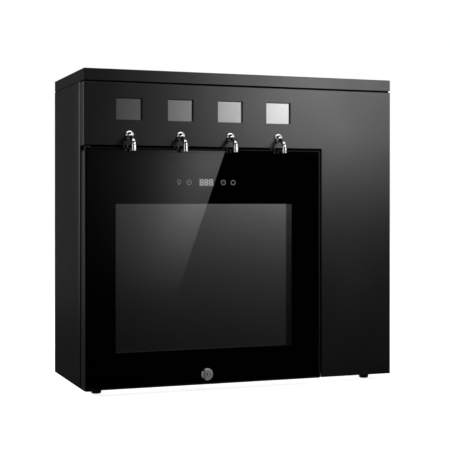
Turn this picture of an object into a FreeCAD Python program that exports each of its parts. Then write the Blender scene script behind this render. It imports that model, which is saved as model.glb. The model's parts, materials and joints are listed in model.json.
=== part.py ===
import FreeCAD, Part

import math
import os
from types import SimpleNamespace

import Sketcher

# Wine preservation dispenser: a counter-top cabinet with a glazed cold compartment for four bottles,
# a tap and a touch display over each bottle, and a service bay in the column on the right.
# The model's origin is on the counter, under the middle of the dispenser. +Z is up and the front faces -Y.
# Cabinet pieces are drawn from the cabinet's lower left front corner, on the plane of the front fascia.

TAPS = 4
OUT = "parts"

# Driving dimensions, in millimetres.
DIMENSIONS = {
    # cabinet
    "cabinet_depth": "293",
    "column_width": "174.5",
    "strip_height": "133",
    "foot_height": "15",
    "foot_radius": "12",
    "foot_side_inset": "40",
    "foot_front_inset": "55",
    "foot_back_inset": "40",
    "foot_bevel": "1.5",
    "foot_stud_radius": "3",
    "foot_screw_radius": "4.5",
    "sheet_gauge": "1.2",
    "bend_radius": "1",
    "base_gauge": "1.5",
    "flange_width": "13",
    "seat_clearance": "0.2",
    "shadow_gap": "1.2",
    # cap and the recessed neck below it
    "cap_height": "24.4",
    "cap_gauge": "1.5",
    "neck_gap": "3.8",
    "neck_inset": "3",
    "neck_flange": "14",
    # fascia and the bay that the door closes
    "fascia_return": "36.5",
    "door_bay_height": "514",
    "bottle_pitch": "114",
    "cavity_left_wall": "41.8",
    "cavity_right_wall": "47.7",
    "display_width": "58.3",
    "display_height": "46.4",
    "display_rise": "54.6",
    "display_recess": "4",
    "display_gauge": "2.2",
    "display_overlap": "2",
    "carrier_margin": "9",
    "carrier_depth": "8",
    # taps
    "spout_rise": "22.7",
    "spout_reach": "32",
    "spout_radius": "4.35",
    "spout_bore": "3",
    "spout_bend": "20",
    "spout_drop": "35.2",
    "collar_radius": "10",
    "collar_rim": "1.4",
    "collar_dome": "11.5",
    "shank_radius": "5",
    "shank_length": "26",
    "nozzle_radius": "5.3",
    "nozzle_length": "14",
    "nozzle_lip": "1.8",
    "nozzle_bore": "3.2",
    "slip_fit": "0.05",
    "hole_clearance": "0.3",
    # door
    "door_proud": "10",
    "door_thickness": "36",
    "door_left_gap": "0.6",
    "door_right_gap": "7.6",
    "door_bottom_gap": "1",
    "header_gap": "4.7",
    "header_height": "8.3",
    "header_depth": "8.5",
    "header_gauge": "2",
    "header_seam": "0.4",
    "header_lip": "2.4",
    "door_corner": "3",
    "glass_lip": "3.6",
    "glass_gauge": "5.5",
    "glass_sink": "0.3",
    "glass_clearance": "0.3",
    "window_left_border": "65.4",
    "window_right_border": "69.9",
    "window_bottom_border": "75",
    "window_top_border": "110",
    "inner_glass_depth": "28",
    "inner_glass_gauge": "4",
    "inner_glass_margin": "12",
    "gasket_width": "10",
    "gasket_foot": "3.5",
    "gasket_margin": "6",
    "gasket_squeeze": "0.3",
    "gasket_floor_gap": "0.5",
    "gasket_shoulder": "1.5",
    "touch_board_width": "158",
    "touch_board_height": "32",
    "touch_board_depth": "6",
    "touch_module_width": "40",
    "touch_module_height": "20",
    "touch_spacer": "4",
    "touch_drop": "63.6",
    # hinges
    "hinge_side_inset": "12",
    "hinge_front_inset": "18",
    "hinge_pin_radius": "3",
    "hinge_pin_length": "11",
    "hinge_plate_gauge": "2",
    "hinge_plate_gap": "1",
    "hinge_plate_radius": "9",
    "hinge_leg_height": "30",
    "hinge_screw_radius": "2.1",
    "hinge_screw_pitch": "14",
    "hinge_tail": "62",
    # lock
    "lock_level": "22.5",
    "lock_bezel_radius": "12.9",
    "lock_bezel_height": "3",
    "lock_notch_width": "4",
    "lock_barrel_radius": "9.5",
    "lock_plug_radius": "6.5",
    "lock_plug_sink": "0.6",
    "keyhole_width": "2",
    "keyhole_height": "8",
    "keyhole_depth": "9",
    "cam_setback": "31",
    "cam_gauge": "2",
    "cam_width": "12",
    "cam_reach": "18.5",
    "cam_spigot_radius": "4",
    "cam_spigot_length": "3",
    "strike_width": "28",
    "strike_height": "12",
    "strike_setback": "28.3",
    "strike_foot": "24",
    # cold compartment
    "liner_setback": "35",
    "liner_gauge": "2",
    "liner_corner": "10",
    "cavity_floor": "44",
    "cavity_roof": "34",
    "cavity_back_wall": "34",
    "foam_clearance": "0.1",
    "bottle_setback": "98",
    "lift_level": "78",
    "lift_disc_radius": "44",
    "lift_disc_gauge": "4",
    "lift_rim_height": "3",
    "lift_rim_width": "2.5",
    "lift_post_radius": "12",
    "lift_travel": "25",
    "lift_stop_gap": "0.5",
    "lift_fit": "0.06",
    "sleeve_wall": "3.4",
    "sleeve_base": "4",
    "lift_base_gauge": "3",
    "liner_hole_clearance": "0.6",
    "head_rail_gauge": "2",
    "head_rail_depth": "44",
    "head_rail_lip": "9",
    "head_radius": "17",
    "head_height": "50",
    "head_neck_radius": "13",
    "head_neck_height": "38",
    "stopper_top_radius": "11",
    "stopper_tip_radius": "8.2",
    "stopper_height": "26",
    "head_spigot_radius": "2.5",
    "head_spigot_length": "6",
    "wine_line_radius": "3",
    "wine_line_bend": "22",
    "line_hole_radius": "4.5",
    "lamp_radius": "5",
    "lamp_end_gap": "38",
    "lamp_setback": "52",
    "duct_side_gap": "28",
    "duct_foot_gap": "66",
    "duct_head_gap": "40",
    "duct_depth": "24",
    "duct_gauge": "2",
    "duct_fan_drop": "90",
    "duct_fan_radius": "40",
    "duct_fan_depth": "11",
    "duct_slot_height": "5",
    "duct_slot_inset": "50",
    "duct_slot_pitch": "13",
    "duct_slot_rise": "30",
    # valves over the compartment
    "valve_setback": "50",
    "valve_width": "28",
    "valve_depth": "26",
    "valve_height": "38",
    "coil_radius": "11",
    "coil_height": "24",
    # service bay
    "compressor_radius": "58",
    "compressor_height": "128",
    "compressor_setback": "150",
    "compressor_rise": "22",
    "compressor_seam": "78",
    "compressor_rim": "3",
    "compressor_rim_height": "5",
    "compressor_stand": "12",
    "compressor_plate_width": "150",
    "compressor_plate_depth": "104",
    "compressor_plate_gauge": "2.5",
    "grommet_radius": "8",
    "condenser_base": "176",
    "condenser_width": "144",
    "condenser_height": "150",
    "condenser_depth": "24",
    "condenser_tank": "6",
    "fin_gauge": "1",
    "shroud_depth": "20",
    "shroud_gauge": "2",
    "rear_fan_radius": "54",
    "rear_fan_depth": "12",
    "fan_tip_gap": "3",
    "fan_hub_radius": "15",
    "fan_shaft_radius": "2.5",
    "fan_shaft_fit": "0.06",
    "fan_hub_gap": "1",
    "blade_gauge": "1",
    "blade_root_chord": "12",
    "circulation_tip_chord": "26",
    "condenser_tip_chord": "36",
    "strut_width": "6",
    "controller_level": "350",
    "controller_height": "140",
    "controller_depth": "130",
    "controller_setback": "80",
    "controller_gauge": "1.6",
    "standoff_height": "6",
    "standoff_radius": "3",
    "transformer_width": "46",
    "transformer_height": "42",
    "transformer_rise": "32",
    "relay_width": "16",
    "relay_height": "26",
    "relay_rise": "16",
    "relay_pitch": "26",
    "capacitor_radius": "6.5",
    "capacitor_rise": "22",
    "capacitor_pitch": "21",
    "inlet_level": "44",
    "inlet_inset": "130",
    "inlet_width": "48",
    "inlet_height": "26",
    "inlet_flange": "2",
    "inlet_body_width": "27",
    "inlet_body_height": "20",
    "inlet_body_depth": "24",
    "inlet_cavity_width": "24",
    "inlet_cavity_height": "16.5",
    "inlet_cavity_depth": "17",
    "inlet_pin_width": "2",
    "inlet_pin_height": "4",
    "inlet_pin_length": "10",
    "inlet_pin_pitch": "7",
    "gas_inset": "48",
    "gas_level": "44",
    "gas_radius": "7",
    "gas_collar_radius": "8.5",
    "gas_stand_out": "12",
    "gas_body_depth": "18",
    "gas_bore_radius": "3.05",
    "gas_bore_depth": "15",
    # vents
    "pan_slot_width": "4",
    "pan_slot_length": "36",
    "pan_slot_pitch": "12",
    "louvre_width": "70",
    "louvre_height": "4",
    "louvre_pitch": "11",
    "louvre_depth": "6",
    "louvre_base": "60",
    "louvre_setback": "120",
    "grille_ring_width": "7",
    "grille_bar_width": "4",
    "grille_hub_radius": "13",
}
LOUVRES = 14
DUCT_SLOTS = 10
GRILLE_RINGS = 4
GRILLE_SECTORS = 4
BLADES = 7
PAN_SLOTS = 7
FINS = 16
GROOVES = 3
CAPACITORS = 3

TOUCHING = 0.01  # how near, in millimetres, an edge lies to the place it is picked by
PARALLEL = 0.999  # the least cosine between an edge and the axis it is picked by
UNCUT = 0.9999999  # a cut that leaves this share of the volume has removed nothing


class Length:
    """A length that carries both its value and the sheet expression it comes from."""

    def __init__(self, value, text):
        self.value = float(value)
        self.text = text

    def __add__(self, other):
        other = as_length(other)
        return Length(self.value + other.value, f"({self.text} + {other.text})")

    def __radd__(self, other):
        return as_length(other) + self

    def __sub__(self, other):
        other = as_length(other)
        return Length(self.value - other.value, f"({self.text} - {other.text})")

    def __rsub__(self, other):
        return as_length(other) - self

    def __mul__(self, factor):
        return Length(self.value * factor, f"({self.text} * {factor})")

    def __rmul__(self, factor):
        return self * factor

    def __truediv__(self, divisor):
        return Length(self.value / divisor, f"({self.text} / {divisor})")

    def __neg__(self):
        return Length(-self.value, f"(0 - {self.text})")


def as_length(item):
    return item if isinstance(item, Length) else Length(item, repr(item))


doc = FreeCAD.newDocument("wine_dispenser")
sheet = doc.addObject("Spreadsheet::Sheet", "Sizes")
for row, (alias, number) in enumerate(DIMENSIONS.items(), start=1):
    sheet.set(f"A{row}", alias.replace("_", " "))
    sheet.set(f"B{row}", number)
    sheet.setAlias(f"B{row}", alias)
doc.recompute()
s = SimpleNamespace(**{alias: Length(sheet.get(alias), f"Sizes.{alias}") for alias in DIMENSIONS})

ZERO = as_length(0)
HALF_CIRCLE = 1.9999  # a chord this many radii long belongs to a half circle
PLANES = {"XY": ("XY_Plane", 1), "XZ": ("XZ_Plane", -1), "YZ": ("YZ_Plane", 1)}


# ---------------------------------------------------------------- sketch shapes


def leg(hypotenuse, side):
    """The other short side of a right-angled triangle."""
    value = math.sqrt(hypotenuse.value**2 - side.value**2)
    return Length(value, f"sqrt({hypotenuse.text}^2 - {side.text}^2)")


def sphere_radius(radius, rise):
    """The radius of a sphere whose cap has the given base radius and height."""
    value = (radius.value**2 + rise.value**2) / (2 * rise.value)
    return Length(value, f"(({radius.text}^2 + {rise.text}^2) / (2 * {rise.text}))")


def rectangle(left, low, right, high):
    return [(left, low), (right, low), (right, high), (left, high)]


def rounded(left, low, right, high, radius):
    """A rectangle with round corners. A third and fourth item make the side that ends there an arc."""
    return [
        (left, low + radius),
        (left + radius, low, radius, 1),
        (right - radius, low),
        (right, low + radius, radius, 1),
        (right, high - radius),
        (right - radius, high, radius, 1),
        (left + radius, high),
        (left, high - radius, radius, 1),
    ]


def round_footed(left, low, right, high, radius):
    """A rectangle with round lower corners and square upper ones."""
    return [
        (left, low + radius),
        (left + radius, low, radius, 1),
        (right - radius, low),
        (right, low + radius, radius, 1),
        (right, high),
        (left, high),
    ]


def circle(across, up, radius):
    return (as_length(across), as_length(up), as_length(radius))


def bind(sketch, constraint, size):
    number = sketch.addConstraint(constraint)
    sketch.setExpression(f"Constraints[{number}]", size.text)


def pin(sketch, geometry, end, across, up):
    """Hold one end of a line or arc at a distance across and up from the sketch's origin."""
    bind(sketch, Sketcher.Constraint("DistanceX", -1, 1, geometry, end, across.value), across)
    bind(sketch, Sketcher.Constraint("DistanceY", -1, 1, geometry, end, up.value), up)


def pin_middle(sketch, geometry, start, finish):
    """Hold a half circle's centre midway between its ends, across its chord."""
    level = abs(finish[0].value - start[0].value) > abs(finish[1].value - start[1].value)
    side = 1 if level else 0
    middle = (start[side] + finish[side]) / 2
    kind = "DistanceY" if level else "DistanceX"
    bind(sketch, Sketcher.Constraint(kind, -1, 1, geometry, 3, middle.value), middle)


def arc_between(start, finish, radius, turn):
    """The arc from start to finish that turns left (1) or right (-1), never more than half a circle."""
    chord = finish - start
    height = math.sqrt(max(radius**2 - (chord.Length / 2) ** 2, 0))
    left = FreeCAD.Vector(-chord.y, chord.x, 0).normalize()
    centre = (start + finish) / 2 + left * height * turn
    ends = (start, finish) if turn > 0 else (finish, start)
    angles = [math.atan2(end.y - centre.y, end.x - centre.x) for end in ends]
    if angles[1] < angles[0]:
        angles[1] += 2 * math.pi
    return Part.ArcOfCircle(Part.Circle(centre, FreeCAD.Vector(0, 0, 1), radius), *angles)


def draw_outline(sketch, points, closed=True):
    corners = [(as_length(point[0]), as_length(point[1])) for point in points]
    spots = [FreeCAD.Vector(across.value, up.value, 0) for across, up in corners]
    sides = range(len(points)) if closed else range(1, len(points))
    drawn = []
    for index in sides:
        start, finish = spots[index - 1], spots[index]
        if len(points[index]) == 2:
            geometry = sketch.addGeometry(Part.LineSegment(start, finish))
            ends = (1, 2)
        else:
            radius, turn = as_length(points[index][2]), points[index][3]
            geometry = sketch.addGeometry(arc_between(start, finish, radius.value, turn))
            ends = (1, 2) if turn > 0 else (2, 1)
            if (finish - start).Length > radius.value * HALF_CIRCLE:
                pin_middle(sketch, geometry, corners[index - 1], corners[index])
            else:
                bind(sketch, Sketcher.Constraint("Radius", geometry, radius.value), radius)
        pin(sketch, geometry, ends[1], *corners[index])
        drawn.append((geometry, ends))
    if not closed:
        pin(sketch, drawn[0][0], drawn[0][1][0], *corners[0])
    for index, (geometry, ends) in enumerate(drawn):
        if closed or index:
            before, before_ends = drawn[index - 1]
            joint = Sketcher.Constraint("Coincident", before, before_ends[1], geometry, ends[0])
            sketch.addConstraint(joint)


def draw_circle(sketch, across, up, radius):
    centre = FreeCAD.Vector(across.value, up.value, 0)
    geometry = sketch.addGeometry(Part.Circle(centre, FreeCAD.Vector(0, 0, 1), radius.value))
    pin(sketch, geometry, 3, across, up)
    bind(sketch, Sketcher.Constraint("Radius", geometry, radius.value), radius)


# ---------------------------------------------------------------- bodies


class Piece:
    """One sub-part: a PartDesign body with a label and a placement, and the features that make it."""

    def __init__(self, name, across, back, up):
        self.name = name
        self.body = doc.addObject("PartDesign::Body", name)
        self.body.Label = name
        self.count = 0
        place(self.body, across, back, up)
        pieces.append(self.body)

    def origin(self, role):
        return next(item for item in self.body.Origin.OriginFeatures if item.Role == role)

    def feature(self, kind, label):
        self.count += 1
        return self.body.newObject(kind, f"{self.name}_{label}_{self.count}")

    def sketch(self, plane, offset, *shapes, closed=True):
        role, side = PLANES[plane]
        drawing = self.feature("Sketcher::SketchObject", "sketch")
        drawing.AttachmentSupport = [(self.origin(role), "")]
        drawing.MapMode = "FlatFace"
        offset = as_length(offset)
        drawing.setExpression("AttachmentOffset.Base.z", (offset * side).text)
        for shape in shapes:
            if isinstance(shape, tuple):
                draw_circle(drawing, *shape)
            else:
                draw_outline(drawing, shape, closed)
        return drawing

    def extrude(self, kind, plane, start, finish, shapes):
        start, finish = as_length(start), as_length(finish)
        drawing = self.sketch(plane, start, *shapes)
        onward = finish.value > start.value
        span = finish - start if onward else start - finish
        solid = self.feature(f"PartDesign::{kind}", kind.lower())
        solid.Profile = drawing
        solid.setExpression("Length", span.text)
        along_normal = onward == (PLANES[plane][1] > 0)
        solid.Reversed = along_normal if kind == "Pocket" else not along_normal
        self.body.Tip = solid
        return solid

    def pad(self, plane, start, finish, *shapes):
        return self.extrude("Pad", plane, start, finish, shapes)

    def pocket(self, plane, start, finish, *shapes):
        return self.extrude("Pocket", plane, start, finish, shapes)

    def revolve(self, plane, axis, points, kind="Revolution"):
        """Turn a profile about the sketch's upright (V_Axis) or level (H_Axis) axis."""
        drawing = self.sketch(plane, ZERO, points)
        solid = self.feature(f"PartDesign::{kind}", kind.lower())
        solid.Profile = drawing
        solid.ReferenceAxis = (drawing, [axis])
        solid.Angle = 360
        self.body.Tip = solid
        return solid

    def pipe(self, plane, offset, section, path_plane, path_offset, path):
        """Sweep a round section along an open path."""
        spine = self.sketch(path_plane, path_offset, path, closed=False)
        profile = self.sketch(plane, offset, section)
        solid = self.feature("PartDesign::AdditivePipe", "pipe")
        solid.Profile = profile
        solid.Spine = (spine, [])
        self.body.Tip = solid
        return solid

    def loft(self, plane, sections):
        """Join closed outlines at several offsets from a plane into one solid."""
        drawings = [self.sketch(plane, offset, shape) for offset, shape in sections]
        solid = self.feature("PartDesign::AdditiveLoft", "loft")
        solid.Profile = drawings[0]
        solid.Sections = drawings[1:]
        self.body.Tip = solid
        return solid

    def row(self, features, axis, step, count):
        pattern = self.feature("PartDesign::LinearPattern", "row")
        pattern.Originals = features
        pattern.Direction = (self.origin(f"{axis}_Axis"), [""])
        pattern.setExpression("Length", (as_length(step) * (count - 1)).text)
        pattern.Occurrences = count
        self.body.Tip = pattern
        return pattern

    def ring(self, features, axis, count):
        pattern = self.feature("PartDesign::PolarPattern", "ring")
        pattern.Originals = features
        pattern.Axis = (self.origin(f"{axis}_Axis"), [""])
        pattern.Angle = 360
        pattern.Occurrences = count
        self.body.Tip = pattern
        return pattern

    def fillet(self, radius, wanted, kind="Fillet"):
        """Round, or with kind Chamfer bevel, the edges that the wanted test picks."""
        doc.recompute()
        base = self.body.Tip
        edges = [f"Edge{number}" for number, edge in enumerate(base.Shape.Edges, 1) if wanted(edge)]
        if not edges:
            raise ValueError(f"{self.name}: no edge to round")
        round_edges = self.feature(f"PartDesign::{kind}", kind.lower())
        round_edges.Base = (base, edges)
        round_edges.setExpression("Size" if kind == "Chamfer" else "Radius", as_length(radius).text)
        self.body.Tip = round_edges
        return round_edges


pieces = []


def place(item, across, back, up):
    for axis, size in zip("xyz", (across, back, up)):
        item.setExpression(f"Placement.Base.{axis}", as_length(size).text)


def along(edge, axis):
    """Whether a straight edge runs along the named axis."""
    if not isinstance(edge.Curve, Part.Line):
        return False
    return abs(getattr(edge.Curve.Direction, axis)) > PARALLEL


def at(edge, **where):
    """Whether all of an edge lies at the given coordinates, such as x=edge_place."""
    box = edge.BoundBox
    for axis, size in where.items():
        low, high = getattr(box, f"{axis.upper()}Min"), getattr(box, f"{axis.upper()}Max")
        if abs(low - size.value) > TOUCHING or abs(high - size.value) > TOUCHING:
            return False
    return True


# ---------------------------------------------------------------- shared places

door_bay_width = s.cavity_left_wall + s.bottle_pitch * TAPS + s.cavity_right_wall
cabinet_width = door_bay_width + s.column_width
cabinet_height = s.door_bay_height + s.strip_height + s.neck_gap + s.cap_height
first_bottle = s.cavity_left_wall + s.bottle_pitch / 2

corner_x = -cabinet_width / 2
corner_y = (s.spout_reach + s.nozzle_radius - s.cabinet_depth - s.gas_stand_out) / 2
corner_z = s.foot_height
CORNER = (corner_x, corner_y, corner_z)

pan_top = s.sheet_gauge + s.base_gauge
fascia_top = cabinet_height - s.cap_height - s.neck_gap
panel_top = cabinet_height - s.cap_height - s.shadow_gap
panel_front = s.fascia_return + s.seat_clearance
panel_back = s.cabinet_depth - s.sheet_gauge
bay_wall = door_bay_width + s.sheet_gauge
deck_top = s.door_bay_height
deck_bottom = deck_top - s.sheet_gauge

door_front = -s.door_proud
door_back = s.door_thickness - s.door_proud
door_left = s.door_left_gap
door_right = door_bay_width - s.door_right_gap
door_bottom = s.door_bottom_gap
header_top = s.door_bay_height - s.header_gap
header_bottom = header_top - s.header_height
door_top = header_bottom - s.header_seam
door_middle = (door_left + door_right) / 2
glass_front = door_front + s.glass_sink
glass_back = glass_front + s.glass_gauge
window_left = door_left + s.window_left_border
window_right = door_right - s.window_right_border
window_bottom = door_bottom + s.window_bottom_border
window_top = door_top - s.window_top_border
touch_level = door_top - s.touch_drop
hinge_x = s.hinge_side_inset
hinge_y = s.hinge_front_inset - s.door_proud

row_middle = first_bottle + s.bottle_pitch * (TAPS - 1) / 2
cavity_left = s.cavity_left_wall
cavity_right = door_bay_width - s.cavity_right_wall
cavity_top = s.door_bay_height - s.cavity_roof
cavity_back = s.cabinet_depth - s.cavity_back_wall
liner_back = cavity_back + s.liner_gauge
flange_back = s.liner_setback + s.liner_gauge
bay_middle = (bay_wall + cabinet_width - s.sheet_gauge) / 2
sleeve_radius = s.lift_post_radius + s.lift_fit + s.sleeve_wall
lift_sole = s.lift_level - s.lift_disc_gauge
sleeve_top = lift_sole - s.lift_travel - s.lift_stop_gap
sleeve_foot = pan_top + s.seat_clearance
sleeve_floor = sleeve_foot + s.sleeve_base
post_foot = sleeve_floor + s.lift_travel + s.lift_stop_gap
duct_front = cavity_back - s.duct_depth
duct_bottom = s.cavity_floor + s.duct_foot_gap
duct_top = cavity_top - s.duct_head_gap
duct_fan_level = duct_top - s.duct_fan_drop
spout_level = s.door_bay_height + s.spout_rise
display_base = s.door_bay_height + s.display_rise
shroud_front = panel_back - s.shroud_depth - s.seat_clearance
condenser_front = shroud_front - s.condenser_depth - s.seat_clearance
fan_level = s.condenser_base + s.condenser_height / 2


def bottle_places():
    return [(index + 1, first_bottle + s.bottle_pitch * index) for index in range(TAPS)]


# ---------------------------------------------------------------- shell


def top_cover():
    piece = Piece("top_cover", *CORNER)
    low, high = cabinet_height - s.cap_height, cabinet_height
    wall = s.cap_gauge
    piece.pad("XY", low, high, rectangle(ZERO, ZERO, cabinet_width, s.cabinet_depth))
    inside = rectangle(wall, wall, cabinet_width - wall, s.cabinet_depth - wall)
    piece.pocket("XY", low, high - wall, inside)
    piece.fillet(
        s.bend_radius,
        lambda edge: at(edge, z=high)
        or along(edge, "z")
        and (at(edge, x=ZERO) or at(edge, x=cabinet_width)),
    )


def neck_frame():
    """Folded ring, set back from the faces below, that carries the cap and leaves the shadow line."""
    piece = Piece("neck_frame", *CORNER)
    left, right = s.neck_inset, cabinet_width - s.neck_inset
    front, back = s.neck_inset, s.cabinet_depth - s.neck_inset
    high = cabinet_height - s.cap_gauge
    piece.pad("XY", fascia_top, high, rectangle(left, front, right, back))
    wall = s.sheet_gauge
    upper = rectangle(left + wall, front + wall, right - wall, back - wall)
    piece.pocket("XY", high, fascia_top + wall, upper)
    rim = s.neck_flange
    middle = rectangle(left + rim, front + rim, right - rim, back - rim)
    piece.pocket("XY", fascia_top + wall, fascia_top, middle)


def side_panel(name, outer, inner, flange):
    """Folded side: the skin, a rear flange for the back panel and a foot flange under the base pan."""
    piece = Piece(name, *CORNER)
    low, high = sorted((outer, inner), key=lambda size: size.value)
    piece.pad("XY", ZERO, panel_top, rectangle(low, panel_front, high, panel_back))
    low, high = sorted((inner, flange), key=lambda size: size.value)
    rear_flange = rectangle(low, panel_back - s.sheet_gauge, high, panel_back)
    piece.pad("XY", ZERO, panel_top, rear_flange)
    foot_flange = rectangle(low, panel_front, high, panel_back)
    piece.pad("XY", ZERO, s.sheet_gauge, foot_flange)
    piece.fillet(s.bend_radius, lambda edge: at(edge, x=outer) and along(edge, "z"))
    return piece


def left_side_panel():
    side_panel("left_side_panel", ZERO, s.sheet_gauge, s.flange_width)


def right_side_panel():
    """The service bay's outer wall, with pressed louvres that lean inwards."""
    right = cabinet_width
    inner = right - s.sheet_gauge
    piece = side_panel("right_side_panel", right, inner, right - s.flange_width)
    start, finish = s.louvre_setback, s.louvre_setback + s.louvre_width
    low, high = s.louvre_base, s.louvre_base + s.louvre_height
    tip = inner - s.louvre_depth
    hood = [(inner, high), (inner, high + s.sheet_gauge), (tip, low + s.sheet_gauge), (tip, low)]
    blade = piece.pad("XZ", start, finish, hood)
    slot = piece.pocket("XZ", start, finish, rectangle(inner, low, right, high))
    piece.row([blade, slot], "Z", s.louvre_pitch, LOUVRES)


def annulus_sector(radius, width, half_bar):
    """A quarter of a ring-shaped opening, its straight sides half a bar away from the axes."""
    outer = radius + width
    near, far = leg(radius, half_bar), leg(outer, half_bar)
    return [(half_bar, near), (near, half_bar, radius, -1), (far, half_bar), (half_bar, far, outer, 1)]


def rear_panel():
    """Back skin with the condenser fan's grille and the cut-outs for the mains and gas inlets."""
    middle, level = bay_middle, fan_level
    front = panel_back
    piece = Piece("rear_panel", corner_x + middle, corner_y, corner_z + level)
    skin = rectangle(-middle, -level, cabinet_width - middle, panel_top - level)
    piece.pad("XZ", front, s.cabinet_depth, skin)
    head = fascia_top - level
    inset = s.flange_width + s.seat_clearance
    lip = rectangle(inset - middle, head - s.sheet_gauge, cabinet_width - inset - middle, head)
    piece.pad("XZ", front - s.neck_flange, front, lip)
    step = s.grille_ring_width + s.grille_bar_width
    openings = [
        annulus_sector(s.grille_hub_radius + step * ring, s.grille_ring_width, s.grille_bar_width / 2)
        for ring in range(GRILLE_RINGS)
    ]
    quarter = piece.pocket("XZ", front, s.cabinet_depth, *openings)
    piece.ring([quarter], "Y", GRILLE_SECTORS)
    half_width = s.inlet_body_width / 2 + s.hole_clearance
    half_height = s.inlet_body_height / 2 + s.hole_clearance
    across, up = cabinet_width - s.inlet_inset - middle, s.inlet_level - level
    inlet = rectangle(across - half_width, up - half_height, across + half_width, up + half_height)
    gas = circle(cabinet_width - s.gas_inset - middle, s.gas_level - level, s.gas_radius + s.hole_clearance)
    piece.pocket("XZ", front, s.cabinet_depth, inlet, gas)


def foot_places():
    left, right = s.foot_side_inset, cabinet_width - s.foot_side_inset
    front, back = s.foot_front_inset, s.cabinet_depth - s.foot_back_inset
    return {
        "front_left": (left, front),
        "front_right": (right, front),
        "back_left": (left, back),
        "back_right": (right, back),
    }


def base_pan():
    """Floor of the cabinet, cut back where the door hangs."""
    piece = Piece("base_pan", *CORNER)
    low, high = s.sheet_gauge, pan_top
    left, right = s.sheet_gauge + s.seat_clearance, cabinet_width - s.sheet_gauge - s.seat_clearance
    front, back = s.sheet_gauge + s.seat_clearance, panel_back - s.sheet_gauge - s.seat_clearance
    step = bay_wall + s.seat_clearance
    outline = [
        (left, panel_front),
        (step, panel_front),
        (step, front),
        (right, front),
        (right, back),
        (left, back),
    ]
    piece.pad("XY", low, high, outline)
    studs = [circle(x, y, s.foot_stud_radius + s.hole_clearance) for x, y in foot_places().values()]
    piece.pocket("XY", high, low, *studs)
    vent_back = s.foot_front_inset + s.pan_slot_length
    vent_left = bay_middle - s.pan_slot_pitch * (PAN_SLOTS - 1) / 2 - s.pan_slot_width / 2
    vent = rectangle(vent_left, s.foot_front_inset, vent_left + s.pan_slot_width, vent_back)
    slot = piece.pocket("XY", high, low, vent)
    piece.row([slot], "X", s.pan_slot_pitch, PAN_SLOTS)


def foot(name, x, y):
    """Moulded rubber foot with a recess for its screw and a stud that locates in the base pan."""
    piece = Piece(f"foot_{name}", corner_x + x, corner_y + y, ZERO)
    radius, top = s.foot_radius, corner_z + s.sheet_gauge
    bevel = s.foot_bevel
    profile = [
        (ZERO, ZERO),
        (radius - bevel * 2, ZERO),
        (radius - bevel, bevel),
        (radius, top - bevel),
        (radius - bevel, top),
        (s.foot_stud_radius, top),
        (s.foot_stud_radius, top + s.base_gauge),
        (ZERO, top + s.base_gauge),
    ]
    piece.revolve("XZ", "V_Axis", profile)
    piece.pocket("XY", ZERO, s.foot_height / 2, circle(ZERO, ZERO, s.foot_screw_radius))


def front_fascia():
    """One inverted-L folded panel: the tap and display strip over the door and the full-height column."""
    piece = Piece("front_fascia", *CORNER)
    wall = s.sheet_gauge
    step, right = door_bay_width, cabinet_width
    outline = [
        (ZERO, s.door_bay_height),
        (step, s.door_bay_height),
        (step, ZERO),
        (right, ZERO),
        (right, fascia_top),
        (ZERO, fascia_top),
    ]
    inside = [
        (wall, s.door_bay_height + wall),
        (step + wall, s.door_bay_height + wall),
        (step + wall, wall),
        (right - wall, wall),
        (right - wall, fascia_top - wall),
        (wall, fascia_top - wall),
    ]
    piece.pad("XZ", ZERO, s.fascia_return, outline)
    piece.pocket("XZ", s.fascia_return, wall, inside)
    left, low = first_bottle - s.display_width / 2, display_base
    window = piece.pocket(
        "XZ", wall, ZERO, rectangle(left, low, left + s.display_width, low + s.display_height)
    )
    hole = circle(first_bottle, spout_level, s.shank_radius + s.hole_clearance)
    shank = piece.pocket("XZ", wall, ZERO, hole)
    piece.row([window, shank], "X", s.bottle_pitch, TAPS)
    piece.fillet(s.bend_radius, lambda edge: at(edge, y=ZERO) and is_long(edge))


def is_long(edge):
    """Whether an edge is one of the fascia's folds rather than the rim of an opening."""
    return isinstance(edge.Curve, Part.Line) and edge.Length > s.display_width.value * 2


def partition_panel():
    """Folded wall and deck that part the cold compartment from the valves and the service bay."""
    piece = Piece("partition_panel", *CORNER)
    left, right = s.sheet_gauge + s.seat_clearance, bay_wall
    profile = [
        (left, deck_bottom),
        (door_bay_width, deck_bottom),
        (door_bay_width, pan_top),
        (right, pan_top),
        (right, deck_top),
        (left, deck_top),
    ]
    back = panel_back - s.sheet_gauge - s.seat_clearance
    piece.pad("XZ", panel_front, back, profile)
    hole = circle(first_bottle, s.bottle_setback, s.line_hole_radius)
    line = piece.pocket("XY", deck_top, deck_bottom, hole)
    piece.row([line], "X", s.bottle_pitch, TAPS)


# ---------------------------------------------------------------- cold compartment


def liner():
    """Formed compartment lining: a rimmed box with round corners, open at the front."""
    piece = Piece("liner", *CORNER)
    left, right = s.sheet_gauge + s.seat_clearance, door_bay_width - s.seat_clearance
    low, high = pan_top + s.seat_clearance, deck_bottom - s.seat_clearance
    piece.pad("XZ", s.liner_setback, flange_back, rectangle(left, low, right, high))
    wall = s.liner_gauge
    shell = rounded(
        cavity_left - wall,
        s.cavity_floor - wall,
        cavity_right + wall,
        cavity_top + wall,
        s.liner_corner + wall,
    )
    piece.pad("XZ", flange_back, liner_back, shell)
    cavity = rounded(cavity_left, s.cavity_floor, cavity_right, cavity_top, s.liner_corner)
    piece.pocket("XZ", s.liner_setback, cavity_back, cavity)
    sleeve = circle(first_bottle, s.bottle_setback, sleeve_radius + s.liner_hole_clearance)
    line = circle(first_bottle, s.bottle_setback, s.line_hole_radius)
    floor_hole = piece.pocket("XY", s.cavity_floor, s.cavity_floor - wall, sleeve)
    roof_hole = piece.pocket("XY", cavity_top + wall, cavity_top, line)
    piece.row([floor_hole, roof_hole], "X", s.bottle_pitch, TAPS)


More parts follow.
